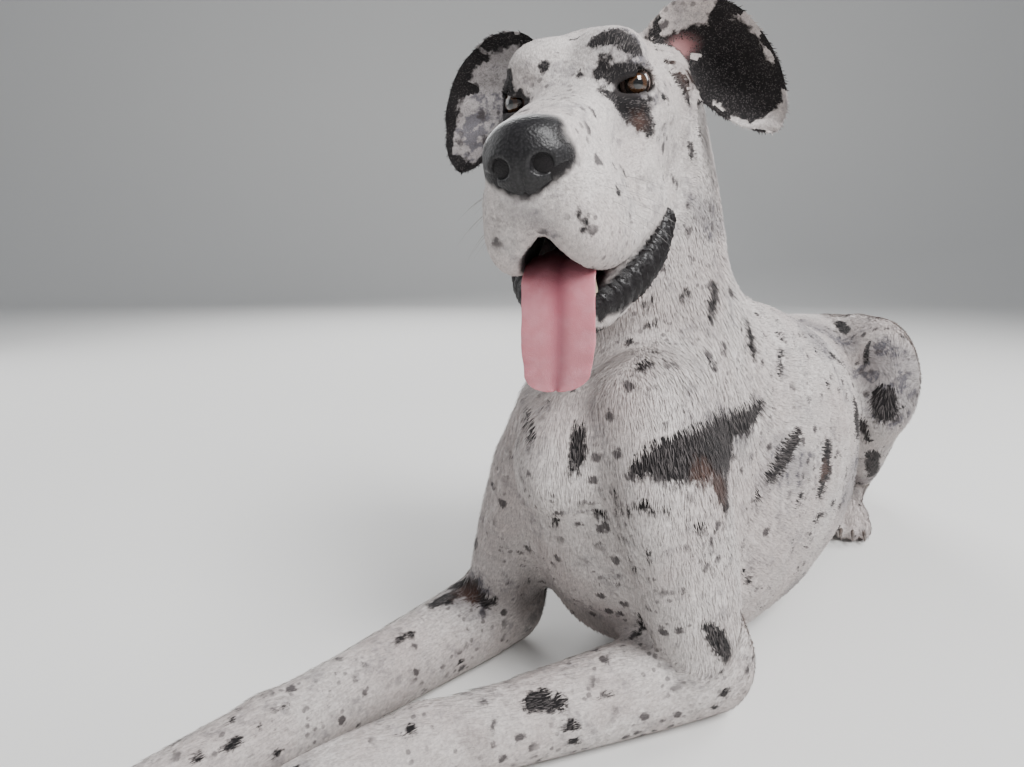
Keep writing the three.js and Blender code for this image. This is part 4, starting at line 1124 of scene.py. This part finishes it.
class DogShape(bpy.types.PropertyGroup):
    body_cell: length("Skin cell", "The size of the cells that the skin is meshed with", 0.004, 0.002, 0.02)
    keep: factor("Kept faces", "The share of the skin's faces that are kept", 0.5, 0.1)
    face_cell: length("Nose cell", "The size of the cells of the nose and lips", 0.0016, 0.0008, 0.01)


class DogCoat(bpy.types.PropertyGroup):
    tufts: IntProperty(name="Tufts", description="How many tufts the coat has", default=330000, min=1000)
    long: length("Length", "The length of the longest hair on the body", 0.011, 0.001, 0.1)
    wide: length("Width", "The width of a tuft at its root", 0.0011, 0.0001, 0.01)
    lift: factor("Lift", "How far the hair's tips stand off the skin", 0.17)
    white: colour("White", "The coat's lightest colour", (0.66, 0.615, 0.59))
    cream: colour("Cream", "The warmer white", (0.58, 0.515, 0.49))
    pale: colour("Shade", "The shade between the hairs", (0.33, 0.295, 0.29))
    grey: colour("Grey", "The grey of the mottled patches", (0.13, 0.122, 0.135))
    fleck: colour("Flecks", "The small flecks", (0.045, 0.038, 0.04))
    black: colour("Black", "The dark patches", (0.006, 0.005, 0.0055))
    dusk: colour("Worn black", "Paler hair in the dark patches", (0.022, 0.018, 0.019))
    brown: colour("Brown", "The brown edges of some patches", (0.06, 0.03, 0.022))


class DogFace(bpy.types.PropertyGroup):
    iris: colour("Iris", "The colour of the eyes", (0.075, 0.032, 0.011))
    nose: colour("Nose", "The colour of the nose", (0.007, 0.0065, 0.007))
    tongue: colour("Tongue", "The colour of the tongue", (0.52, 0.17, 0.205))
    gum: colour("Lips", "The colour of the lips and gums", (0.006, 0.0045, 0.005))
    tooth: colour("Teeth", "The colour of the teeth", (0.68, 0.60, 0.43))
    claw: colour("Claws", "The colour of the claws", (0.06, 0.048, 0.042))


class DogStage(bpy.types.PropertyGroup):
    floor: colour("Floor", "The colour of the floor", (0.74, 0.735, 0.72))
    key: light_power("Main light", "The power of the main light", 130.0)
    fill: light_power("Fill light", "The power of the light on the far side", 30.0)


FLESH = [
    "head", "ear_left", "ear_right", "lower_jaw", "neck", "chest", "belly", "rump", "tail",
]
for _part in ("upper_arm", "forearm", "fore_paw", "thigh", "shank", "hind_foot"):
    FLESH += [f"{_part}_{_side}" for _side in ("left", "right")]
COAT_COLOURS = ("white", "cream", "pale", "grey", "fleck", "black", "dusk", "brown")


def colours_of(scene):
    c, f = scene.dog_coat, scene.dog_face
    out = {k: rgb(getattr(c, k)) for k in COAT_COLOURS}
    out.update(pink=(0.42, 0.2, 0.2, 1), rim=(0.02, 0.016, 0.016, 1), gum=rgb(f.gum))
    return out


def mesh_normals(mesh):
    out = np.empty(len(mesh.vertices) * 3, np.float32)
    mesh.vertex_normals.foreach_get("vector", out)
    return out.reshape(-1, 3).astype(float)


class DOG_OT_skin(bpy.types.Operator):
    """Makes the one skin over all the flesh and gives it its markings"""

    bl_idname = "dog.skin"
    bl_label = "Skin"

    def execute(self, context):
        shape = context.scene.dog_shape
        cell = shape.body_cell / MM * 1.0
        points, quads = surface(skin_form, cell)
        if not len(points):
            raise RuntimeError("the skin came out empty")
        for ear_points, ear_quads in pair(ear_sheet):
            quads = np.vstack([quads, ear_quads + len(points)])
            points = np.vstack([points, ear_points])
        obj = mesh_object("dog_skin", points, quads)
        self.thin_out(obj, shape.keep)
        refine(obj, skin_form, self.near_eyes)
        mesh = obj.data
        for name, values in coverage(coordinates(mesh), mesh_normals(mesh)).items():
            put(mesh, name, values)
        obj.data.materials.append(skin_material(colours_of(context.scene)))
        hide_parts(*FLESH)
        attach(obj, "root")
        return {"FINISHED"}

    @staticmethod
    def near_eyes(p):
        q = to_head(p)
        off = np.stack([np.abs(q[:, 0]) - EYE["x"], q[:, 1] - EYE["y"] + 8, q[:, 2] - EYE["z"]], 1)
        return np.linalg.norm(off, axis=1) < 30

    @staticmethod
    def thin_out(obj, keep):
        """Leaves the head as it is and thins the rest of the skin out."""
        p = coordinates(obj.data)
        group = obj.vertex_groups.new(name="body")
        body = np.flatnonzero(np.abs(to_head(p)).max(1) > 200)
        group.add(body.tolist(), 1.0, "REPLACE")
        modifier = obj.modifiers.new("thin", "DECIMATE")
        modifier.ratio = keep
        modifier.vertex_group = "body"
        modifier.vertex_group_factor = 10
        held = bpy.data.meshes.new_from_object(obj.evaluated_get(bpy.context.evaluated_depsgraph_get()))
        obj.modifiers.clear()
        obj.vertex_groups.clear()
        old, obj.data = obj.data, held
        bpy.data.meshes.remove(old)
        held.name = obj.name
        held.shade_smooth()


def head_piece(name, form, cell):
    """A mesh of a form that is measured in the head's frame."""
    points, quads = surface(form, cell)
    points = settle(form, points, 1, 1.5)
    return mesh_object(name, from_head(points), quads)


def plain_object(name, points, faces):
    """The same, from faces with any number of corners."""
    mesh = bpy.data.meshes.new(name)
    mesh.from_pydata(((np.asarray(points) + SHIFT) * MM).tolist(), [], [list(map(int, f)) for f in faces])
    mesh.update()
    mesh.shade_smooth()
    made = bpy.data.objects.new(name, mesh)
    bpy.context.scene.collection.objects.link(made)
    return made


def ring_faces(count, around, start=0):
    """The faces between rings of points that follow each other."""
    faces = []
    for i in range(count):
        for j in range(around):
            a, b = start + i * around + j, start + i * around + (j + 1) % around
            faces.append([a, b, b + around, a + around])
    return faces


def outward(obj):
    work = bmesh.new()
    work.from_mesh(obj.data)
    bmesh.ops.recalc_face_normals(work, faces=work.faces)
    work.to_mesh(obj.data)
    work.free()
    return obj


# The pupil, the dark rim of the iris and the white: where each starts, in mm from the gaze, and its colour.
EYE_RINGS = (
    ((4.2, 3.8), (0.002, 0.002, 0.002, 1)),
    ((7.4, 8.8), (0.012, 0.008, 0.006, 1)),
    ((11.0, 13.5), (0.16, 0.11, 0.095, 1)),
)
GAZE_OUTWARD = math.radians(24)


class DOG_OT_eyes(bpy.types.Operator):
    """Makes the eyes, each a wet ball with an iris and a pupil"""

    bl_idname = "dog.eyes"
    bl_label = "Eyes"

    def execute(self, context):
        n = Nodes("dog eye")
        off = n.value("off")
        iris = rgb(context.scene.dog_face.iris)
        rays = n.noise(1.0, 4, (900, 900, 900))
        colour = n.mix(n.math("MULTIPLY", rays, 0.9), iris, tuple(v * 0.35 for v in iris[:3]) + (1,))
        for edge, shade in EYE_RINGS:
            colour = n.mix(n.spread(off, *edge), colour, shade)
        material = n.set(Base_Color=colour, Roughness=0.12, Coat_Weight=1.0, Coat_Roughness=0.02)
        for side, s in (("left", 1), ("right", -1)):
            gaze = np.array([s * math.sin(GAZE_OUTWARD), -math.cos(GAZE_OUTWARD), 0.0])
            side_way = np.cross(gaze, [0, 0, 1.0])
            top = np.cross(side_way, gaze)
            rings, around = 30, 40
            points, off_axis = [], []
            for i in range(rings + 1):
                a = math.pi * i / rings
                r = EYE_RADIUS + 0.9 * math.exp(-(a / 0.42) ** 2)
                for j in range(around):
                    b = 2 * math.pi * j / around
                    way = gaze * math.cos(a) + (side_way * math.cos(b) + top * math.sin(b)) * math.sin(a)
                    points.append(np.array([s * EYE["x"], EYE["y"], EYE["z"]]) + way * r)
                    off_axis.append(a * EYE_RADIUS)
            faces = ring_faces(rings, around)
            obj = plain_object("eye_ball_" + side, from_head(np.array(points)), faces)
            put(obj.data, "off", off_axis)
            work = bmesh.new()
            work.from_mesh(obj.data)
            bmesh.ops.remove_doubles(work, verts=work.verts, dist=1e-6)
            bmesh.ops.recalc_face_normals(work, faces=work.faces)
            work.to_mesh(obj.data)
            work.free()
            obj.data.shade_smooth()
            obj.data.materials.append(material)
            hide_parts("eye_" + side)
            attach(obj, "root")
        return {"FINISHED"}


# Teeth of one side: [x, y, z, height, radius, up or down, how far the tip leans back].
TEETH = [
    [24, -113, -82, 26, 5.0, -1, 3],
    [22, -91, -144, 27, 5.4, 1, 5],
    [13, -97, -150, 15, 2.9, 1, 1],
    [5, -101, -150, 15, 2.9, 1, 1],
]


class DOG_OT_mouth(bpy.types.Operator):
    """Makes the nose, the lips, the tongue and the teeth"""

    bl_idname = "dog.mouth"
    bl_label = "Nose and mouth"

    def execute(self, context):
        cell = context.scene.dog_shape.face_cell / MM * 1
        face = context.scene.dog_face
        self.nose(cell, face)
        self.lips(cell * 1.3, face)
        self.tongue(face)
        self.teeth(face)
        return {"FINISHED"}

    def nose(self, cell, face):
        def measure(p):
            groove = np.exp(-(p[:, 0] / 1.6) ** 2) * 1.3 * ease(-p[:, 1], 140, 156) * ease(-p[:, 2], 30, 44)
            return -soften(-nose_form(p) - 0.3, nostrils(p), 2) + groove

        obj = head_piece("nose_pad", Form(nose_form.low, nose_form.high, measure), cell)
        n = Nodes("dog nose")
        pebbles = n.cells(560, "SMOOTH_F1")
        n.bump(n.math("ADD", pebbles, n.math("MULTIPLY", n.noise(1400, 2), 0.3)), 0.5, 0.0009)
        base = rgb(face.nose)
        colour = n.mix(n.spread(pebbles, 0.1, 0.7), tuple(v * 2.6 for v in base[:3]) + (1,), base)
        shine = {"Specular_IOR_Level": 0.3, "Coat_Weight": 0.12, "Coat_Roughness": 0.35}
        obj.data.materials.append(n.set(Base_Color=colour, Roughness=0.42, **shine))
        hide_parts("nose")
        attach(obj, "root")

    def lips(self, cell, face):
        """The wet black rim of the lower lip, with its scalloped edge."""
        def measure(p):
            wave = np.sin(p[:, 1] * 0.62 + 1.1 * np.sin(p[:, 1] * 0.23)) * 1.7 + np.sin(p[:, 1] * 1.9) * 0.7
            wave += np.sin(p[:, 1] * 1.1 + p[:, 2] * 0.9) * 0.5
            return lips(p) + wave * 0.8 + COAT_DEPTH * 0.2

        form = Form(lips.low - 3, lips.high + 3, measure)
        obj = head_piece("lip_rim", form, cell)
        n = Nodes("dog lips")
        n.bump(n.math("ADD", n.noise(420, 3), n.math("MULTIPLY", n.noise(1500, 2), 0.3)), 0.6, 0.0016)
        shine = {"Specular_IOR_Level": 0.2, "Coat_Weight": 0.16, "Coat_Roughness": 0.12}
        obj.data.materials.append(n.set(Base_Color=rgb(face.gum), Roughness=0.4, **shine))
        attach(obj, "root")

    def tongue(self, face):
        rows = np.array(TONGUE, float)
        count, around = 90, 56
        at, _ = curve(rows[:, :3], count)
        k = np.linspace(0, len(rows) - 1, count + 1)
        half = np.interp(k, range(len(rows)), rows[:, 3])
        thick = np.interp(k, range(len(rows)), rows[:, 4]) * 0.9
        fine = k / k[-1]
        bend = 0.86
        tip = half[int(count * bend)] * np.sqrt(np.clip(1 - ((fine - bend) / 0.145) ** 2, 0.02, 1))
        half = np.where(fine > bend, tip, half) * 0.97
        along = np.gradient(at, axis=0) * [0, 1, 1]
        along /= np.linalg.norm(along, axis=1)[:, None]
        top = -np.cross([1.0, 0, 0], along)
        turn = np.linspace(0, 2 * math.pi, around, endpoint=False)
        u, v = np.cos(turn), np.sin(turn)
        groove = np.where(v > 0, 2.6 * np.exp(-(u * 5) ** 2), 0)
        ripple = 0.5 * np.sin(fine * 60)[:, None] * np.abs(u)[None] ** 3
        curl = 3 * u * u
        points = at[:, None] + np.array([1.0, 0, 0]) * (half[:, None] * u[None])[..., None]
        rise = thick[:, None] * v[None] * (1 - 0.25 * (u * u)[None]) - groove[None] + curl[None] + ripple
        points = points + top[:, None] * rise[..., None]
        faces = ring_faces(count, around)
        faces += [list(range(around))[::-1], list(range(count * around, (count + 1) * around))]
        obj = outward(plain_object("tongue_flesh", from_head(points.reshape(-1, 3)), faces))
        # Painted shade: a mask along the groove on top of the tongue, which is coloured darker there.
        deep = np.tile(np.exp(-(u * 4.2) ** 2) * (v > 0), count + 1)
        put(obj.data, "deep", deep)
        put(obj.data, "down", np.repeat(fine, around))
        n = Nodes("dog tongue")
        base = rgb(face.tongue)
        # tongue_shade is the tongue's colour darkened: painted shade for the groove and for the part inside
        # the mouth.
        tongue_shade = tuple(v * f for v, f in zip(base[:3], (0.62, 0.42, 0.5))) + (1,)
        paler = tuple(min(v * f, 1) for v, f in zip(base[:3], (1.12, 1.35, 1.3))) + (1,)
        colour = n.mix(n.spread(n.noise(60, 4), 0.35, 0.7), base, paler)
        # Painted shade in the groove along the top of the tongue.
        colour = n.mix(n.math("MULTIPLY", n.value("deep"), 0.8), colour, tongue_shade)
        # Painted shade towards the root, on the part of the tongue that lies inside the mouth.
        colour = n.mix(n.spread(n.value("down"), 0.42, 0.2), colour, tongue_shade)
        buds = n.cells(1150)
        n.bump(n.math("ADD", n.math("MULTIPLY", buds, -0.6), n.noise(180, 3)), 0.4, 0.0008)
        soft = {"Subsurface_Weight": 0.18, "Subsurface_Scale": 0.5}
        soft["Subsurface_Radius"] = (0.01, 0.004, 0.003)
        material = n.set(Base_Color=colour, Roughness=0.4, Coat_Weight=0.35, Coat_Roughness=0.25, **soft)
        obj.data.materials.append(material)
        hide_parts("tongue")
        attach(obj, "root")

    def teeth(self, face):
        points, faces = [], []

        def tooth(at, tall, radius, way, back):
            rings, around = 9, 14
            start = len(points)
            for i in range(rings + 1):
                t = i / rings
                r = radius * (1 - t ** 1.6) ** 0.75
                bend = back * t * t
                for j in range(around):
                    a = 2 * math.pi * j / around
                    off = (r * math.cos(a) * 0.8, r * math.sin(a) + bend, way * tall * (t - 0.4))
                    points.append([at[k] + off[k] for k in range(3)])
            faces.extend(ring_faces(rings, around, start))
            faces.append(list(range(start, start + around)))

        for s in (1, -1):
            for x, y, z, *size in TEETH:
                tooth([s * x, y, z], *size)
        obj = outward(plain_object("teeth", from_head(np.array(points)), faces))
        n = Nodes("dog teeth")
        tone = rgb(face.tooth)
        colour = n.mix(n.spread(n.noise(120, 3), 0.3, 0.7), tone, tuple(v * 0.72 for v in tone[:3]) + (1,))
        obj.data.materials.append(n.set(Base_Color=colour, Roughness=0.25, Coat_Weight=0.4))
        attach(obj, "root")


class DOG_OT_claws(bpy.types.Operator):
    """Makes a curved claw on each toe"""

    bl_idname = "dog.claws"
    bl_label = "Claws"

    def execute(self, context):
        points, faces = [], []
        for legs, key in ((FORELEGS, "hand"), (HIND_LEGS, "foot")):
            for side in ("left", "right"):
                for at, ahead in toe_places(legs[side][key]):
                    self.claw(points, faces, at + ahead * (TOE["long"] - 9), ahead)
        obj = outward(plain_object("claws", np.array(points), faces))
        base = rgb(context.scene.dog_face.claw)
        n = Nodes("dog claws")
        colour = n.mix(n.spread(n.noise(200, 3), 0.3, 0.7), base, tuple(v * 2.2 for v in base[:3]) + (1,))
        obj.data.materials.append(n.set(Base_Color=colour, Roughness=0.32))
        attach(obj, "root")
        return {"FINISHED"}

    @staticmethod
    def claw(points, faces, at, ahead):
        rings, around = 10, 12
        side = np.cross([0, 0, 1.0], ahead)
        start = len(points)
        for i in range(rings + 1):
            t = i / rings
            centre = at + ahead * (CLAW["long"] + 3) * t * (1 - 0.12 * t) + np.array([0, 0, 3 - 11 * t * t])
            r = CLAW["radius"] * (1 - t ** 1.8) ** 0.6 + 0.3
            for j in range(around):
                a = 2 * math.pi * j / around
                point = centre + side * r * 0.72 * math.cos(a) + np.array([0, 0, r * math.sin(a)])
                point[2] = max(point[2], 0.5)
                points.append(point)
        faces.extend(ring_faces(rings, around, start))
        faces.append(list(range(start, start + around)))
        faces.append(list(range(start + rings * around, start + (rings + 1) * around)))


def region(points):
    """Which of the coat's pieces each point belongs to, as a place in REGIONS."""
    q = to_head(points)
    out = np.full(len(points), 3)
    out[points[:, 1] > 330] = 4
    out[(points[:, 2] > 400)] = 2
    out[(np.abs(q[:, 0]) < 100) & (q[:, 1] < 120) & (q[:, 2] > -185)] = 0
    for s in (1, -1):
        v, w, along, _, end = ear_place(q, s)
        out[(np.abs(v) < 1.2) & (np.abs(w) < 8) & (end < 5) & (along > 0.05)] = 1
    low = (points[:, 2] < 110) & (points[:, 1] < 60)
    out[low] = 5
    out[(LIMBS["tail"](points) < 4) & (points[:, 1] > 840)] = 6
    return out


REGIONS = ("head", "ears", "neck", "front", "rear", "forelegs", "tail")


MOST_TRIANGLES = 190000
PATCH = 0.003


class DOG_OT_coat(bpy.types.Operator):
    """Lays the short coat over the skin in tufts"""

    bl_idname = "dog.coat"
    bl_label = "Coat"

    def execute(self, context):
        coat = context.scene.dog_coat
        skin = bpy.data.objects["dog_skin"].data
        roots, normals, values = self.roots(skin, coat.tufts // (1))
        flow = lie(roots, normals)
        part = region(roots)
        material = fur_material(colours_of(context.scene))
        for k, name in enumerate(REGIONS):
            mine = np.flatnonzero(part == k)
            parts = max(1, math.ceil(len(mine) * 3 / MOST_TRIANGLES))
            for number, chosen in enumerate(np.array_split(mine, parts)):
                if not len(chosen):
                    continue
                own = {key: v[chosen] for key, v in values.items()}
                places = (roots[chosen], normals[chosen], flow[chosen])
                self.piece(f"coat_{name}_{number}", coat, *places, own, material)
        return {"FINISHED"}

    @staticmethod
    def roots(mesh, count):
        """Random places on the skin, denser on the head, with the values of the markings there."""
        mesh.calc_loop_triangles()
        tri = np.empty(len(mesh.loop_triangles) * 3, np.int32)
        mesh.loop_triangles.foreach_get("vertices", tri)
        tri = tri.reshape(-1, 3)
        p, n = coordinates(mesh), mesh_normals(mesh)
        values = {}
        for key in COVERS:
            held = np.empty(len(mesh.vertices), np.float32)
            mesh.attributes[key].data.foreach_get("value", held)
            values[key] = held
        a, b, c = p[tri[:, 0]], p[tri[:, 1]], p[tri[:, 2]]
        area = np.linalg.norm(np.cross(b - a, c - a), axis=1)
        centre = (a + b + c) / 3
        density = 1 + 2.2 * (1 - ease(np.linalg.norm(to_head(centre) - [0, 0, -40], axis=1), 150, 260))
        clear = (values["wet"][tri].max(1) < 0.3) & (values["lid"][tri].max(1) < 0.5) & (centre[:, 2] > 1.5)
        clear &= values["bare"][tri].mean(1) < 0.75
        clear &= nose_form(to_head(centre)) > 0.8
        weight = np.cumsum(area * density * clear)
        random = np.random.default_rng(11)
        pick = np.searchsorted(weight, random.random(count) * weight[-1])
        u, v = random.random(count), random.random(count)
        flip = u + v > 1
        u, v = np.where(flip, 1 - u, u), np.where(flip, 1 - v, v)
        w = np.stack([1 - u - v, u, v], 1)
        t = tri[pick]
        roots = (p[t] * w[..., None]).sum(1)
        normals = (n[t] * w[..., None]).sum(1)
        normals /= np.linalg.norm(normals, axis=1)[:, None]
        return roots, normals, {k: (x[t] * w).sum(1) for k, x in values.items()}

    @staticmethod
    def piece(name, coat, roots, normals, flow, values, material):
        random = np.random.default_rng(len(roots))
        count = len(roots)
        q = to_head(roots)
        long = np.full(count, coat.long / MM)
        on_face = 1 - ease(head(q), 0, 30)
        ahead_of_ears = ease(-q[:, 1], -110, 0)
        long *= 1 - on_face * (0.42 + 0.3 * ahead_of_ears)
        long = np.where(region(roots) == 1, long * 0.62, long)
        long *= 1 - 0.45 * (1 - ease(roots[:, 2], 20, 120)) * (roots[:, 1] < 60)
        long *= random.uniform(0.7, 1.25, count)
        wide = coat.wide / MM * (0.55 + 0.45 * long / (coat.long / MM))
        turn = random.normal(0, 0.16, count)[:, None]
        side = np.cross(normals, flow)
        way = flow + side * turn
        way /= np.linalg.norm(way, axis=1)[:, None]
        side = np.cross(normals, way)
        lift = coat.lift * random.uniform(0.35, 1.5, count)
        mid = roots + way * (long * 0.5)[:, None] + normals * (long * lift * 0.62)[:, None]
        tip = roots + way * (long * 0.97)[:, None] + normals * (long * lift * 0.8)[:, None]
        root = roots - normals * 0.25
        half = (side * (wide / 2)[:, None])
        points = np.stack([root - half, root + half, mid + half * 0.72, mid - half * 0.72, tip], 1)
        points[..., 2] = np.maximum(points[..., 2], 0.6)
        points = points.reshape(-1, 3)
        base = np.arange(count)[:, None] * 5
        tri = np.concatenate([base + [0, 1, 2], base + [0, 2, 3], base + [3, 2, 4]], 1).reshape(-1, 3)
        obj = mesh_object(name, points, tri)
        mesh = obj.data
        for key in ("dark", "brown", "grey", "bare"):
            put(mesh, key, np.repeat(values[key], 5))
        put(mesh, "tip", np.tile([0, 0, 0.5, 0.5, 1.0], count))
        put(mesh, "own", np.repeat(random.random(count), 5))
        low, high = roots.min(0), roots.max(0)
        place = unwrap(roots, normals, low, high)
        patch = np.array([[0, 0], [1, 0], [0.9, 0.5], [0.1, 0.5], [0.5, 1]]) * PATCH - PATCH / 2
        uv = (place[:, None] + patch[None]).reshape(-1, 2)
        layer = mesh.uv_layers.new(name="OFBake")
        layer.data.foreach_set("uv", uv[tri.ravel()].astype(np.float32).ravel())
        mesh.materials.append(material)
        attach(obj, "root")


WHISKER_RADIUS = 0.0002


class DOG_OT_whiskers(bpy.types.Operator):
    """Grows the whiskers from the muzzle, the brows and the chin, through Geometry Nodes"""

    bl_idname = "dog.whiskers"
    bl_label = "Whiskers"

    def execute(self, context):
        starts, ways = self.places()
        lines = bpy.data.meshes.new("whisker lines")
        steps = 9
        points = []
        for at, way in zip(starts, ways):
            for i in range(steps):
                t = i / (steps - 1)
                points.append(at + way * t + np.array([0, 0, -0.22]) * np.linalg.norm(way) * t * t)
        edges = [(k * steps + i, k * steps + i + 1) for k in range(len(starts)) for i in range(steps - 1)]
        lines.from_pydata(((np.array(points) + SHIFT) * MM).tolist(), edges, [])
        material = plain_material("dog whisker", (0.3, 0.28, 0.27), 0.4)
        source = bpy.data.objects.new("whisker lines", lines)
        context.scene.collection.objects.link(source)
        tree = self.tree(material)
        modifier = source.modifiers.new("whiskers", "NODES")
        modifier.node_group = tree
        for item in tree.interface.items_tree:
            if item.item_type == "SOCKET" and item.in_out == "INPUT" and item.name == "Radius":
                modifier[item.identifier] = WHISKER_RADIUS
        held = bpy.data.meshes.new_from_object(source.evaluated_get(context.evaluated_depsgraph_get()))
        bpy.data.objects.remove(source)
        bpy.data.meshes.remove(lines)
        bpy.data.node_groups.remove(tree)
        obj = bpy.data.objects.new("whiskers", held)
        held.name = "whiskers"
        context.scene.collection.objects.link(obj)
        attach(obj, "root")
        return {"FINISHED"}

    @staticmethod
    def places():
        random = np.random.default_rng(3)
        starts, ways = [], []
        for s in (1, -1):
            for row in range(3):
                for k in range(4):
                    start = np.array([s * 60.0, -122 + 20 * k + 5 * row, -60 - 15 * row])
                    starts.append(start + random.normal(0, 1.5, 3))
                    way = np.array([s * (22 + 3 * k), 4 + 3 * k, -8 - 4 * row])
                    ways.append(way * random.uniform(0.8, 1.25))
            for k in range(4):
                starts.append(np.array([s * (34 + 6 * k), -16, 30.0]))
                ways.append(np.array([s * 7, -13 + 2 * k, 12.0]))
            for k in range(3):
                starts.append(np.array([s * (18 + 9 * k), -110 + 22 * k, -186.0]))
                ways.append(np.array([s * 4, -7, -15.0]))
        starts = from_head(np.array(starts))
        starts = settle(skin_form, starts, 6, 12)
        return starts, np.array(ways) @ HEAD_TURNED.T

    @staticmethod
    def tree(material):
        tree = bpy.data.node_groups.new("Whiskers", "GeometryNodeTree")
        tree.interface.new_socket("Geometry", in_out="INPUT", socket_type="NodeSocketGeometry")
        radius = tree.interface.new_socket("Radius", in_out="INPUT", socket_type="NodeSocketFloat")
        radius.default_value = WHISKER_RADIUS
        tree.interface.new_socket("Geometry", in_out="OUTPUT", socket_type="NodeSocketGeometry")
        add = tree.nodes.new
        start, end = add("NodeGroupInput"), add("NodeGroupOutput")
        curves, taper = add("GeometryNodeMeshToCurve"), add("ShaderNodeMapRange")
        along, ring = add("GeometryNodeSplineParameter"), add("GeometryNodeCurvePrimitiveCircle")
        sweep = add("GeometryNodeCurveToMesh")
        realize, paint = add("GeometryNodeRealizeInstances"), add("GeometryNodeSetMaterial")
        ring.inputs["Resolution"].default_value = 5
        ring.inputs["Radius"].default_value = 1.0
        paint.inputs["Material"].default_value = material
        link = tree.links.new
        link(start.outputs["Geometry"], curves.inputs[0])
        link(curves.outputs[0], sweep.inputs["Curve"])
        link(ring.outputs[0], sweep.inputs["Profile Curve"])
        link(along.outputs["Factor"], taper.inputs["Value"])
        taper.inputs["To Max"].default_value = 0.00003
        link(start.outputs["Radius"], taper.inputs["To Min"])
        link(taper.outputs[0], sweep.inputs["Scale"])
        sweep.inputs["Fill Caps"].default_value = True
        link(sweep.outputs[0], realize.inputs[0])
        link(realize.outputs[0], paint.inputs[0])
        link(paint.outputs[0], end.inputs[0])
        return tree


class DOG_OT_stage(bpy.types.Operator):
    """Sets the floor, the lights and the camera"""

    bl_idname = "dog.stage"
    bl_label = "Stage"

    def execute(self, context):
        scene, stage = context.scene, context.scene.dog_stage
        mesh = bpy.data.meshes.new("floor")
        size, depth = 9.0, 4.6
        points, faces = [], []
        bend = [(-size, 0.0), (depth, 0.0)]
        round_off = 1.6
        for a in np.linspace(0.1, math.pi / 2, 12):
            bend.append((depth + round_off * math.sin(a), round_off * (1 - math.cos(a))))
        bend.append((depth + round_off, 8.0))
        right, ahead, _ = camera_axes()
        level = ahead * [1, 1, 0] / np.linalg.norm(ahead[:2])
        for along, up in bend:
            for across in (-size, size):
                points.append(level * along + right * across + np.array([0, 0, up]))
        for i in range(len(bend) - 1):
            faces.append([2 * i, 2 * i + 1, 2 * i + 3, 2 * i + 2])
        mesh.from_pydata([tuple(p) for p in points], [], faces)
        mesh.shade_smooth()
        floor = bpy.data.objects.new("floor", mesh)
        scene.collection.objects.link(floor)
        mesh.materials.append(plain_material("studio floor", stage.floor[:3], 0.9))
        for name, at, side, power in (
            ("key", (1.9, -1.0, 2.3), 1.1, stage.key),
            ("fill", (-2.6, -1.0, 1.5), 2.4, stage.fill),
            ("rim", (1.6, 2.4, 2.4), 1.6, stage.key * 0.6),
            ("wall", (-2.6, 2.2, 2.6), 2.0, stage.key * 0.9),
        ):
            lamp = bpy.data.lights.new(name, "AREA")
            lamp.size, lamp.energy = side, power
            obj = bpy.data.objects.new(name, lamp)
            obj.location = at
            obj.rotation_euler = (Vector((0, -0.1, 0.3)) - Vector(at)).to_track_quat("-Z", "Y").to_euler()
            scene.collection.objects.link(obj)
        scene.world = scene.world or bpy.data.worlds.new("studio")
        scene.world.use_nodes = True
        back = scene.world.node_tree.nodes.get("Background")
        back.inputs[0].default_value = (0.9, 0.94, 1.0, 1)
        back.inputs[1].default_value = 0.34
        lens = bpy.data.cameras.new("photo")
        lens.lens = FOCAL_PIXELS / PICTURE[0] * lens.sensor_width
        camera = bpy.data.objects.new("photo", lens)
        camera.location = (np.array(CAMERA_AT, float) + SHIFT) * MM
        camera.rotation_euler = Vector(ahead).to_track_quat("-Z", "Y").to_euler()
        scene.collection.objects.link(camera)
        scene.camera = camera
        return {"FINISHED"}


class DOG_PT_panel(bpy.types.Panel):
    """Lists the dog's settings and steps"""

    bl_idname = "DOG_PT_panel"
    bl_label = "Great Dane"
    bl_space_type = "VIEW_3D"
    bl_region_type = "UI"
    bl_category = "Dog"

    def draw(self, context):
        for name in GROUPS:
            group = getattr(context.scene, name)
            box = self.layout.box()
            for key in group.__annotations__:
                box.prop(group, key)
        for step in STEPS:
            self.layout.operator(step.bl_idname)


STEPS = (DOG_OT_skin, DOG_OT_eyes, DOG_OT_mouth, DOG_OT_claws, DOG_OT_coat, DOG_OT_whiskers, DOG_OT_stage)
GROUPS = {"dog_shape": DogShape, "dog_coat": DogCoat, "dog_face": DogFace, "dog_stage": DogStage}


def register():
    for group in GROUPS.values():
        bpy.utils.register_class(group)
    for name, group in GROUPS.items():
        setattr(bpy.types.Scene, name, PointerProperty(type=group))
    for kind in (*STEPS, DOG_PT_panel):
        bpy.utils.register_class(kind)


def unregister():
    for kind in (DOG_PT_panel, *reversed(STEPS)):
        bpy.utils.unregister_class(kind)
    for name, group in GROUPS.items():
        delattr(bpy.types.Scene, name)
        bpy.utils.unregister_class(group)


def main():
    register()
    for step in STEPS:
        family, name = step.bl_idname.split(".")
        getattr(getattr(bpy.ops, family), name)()


if __name__ == "__main__":
    main()
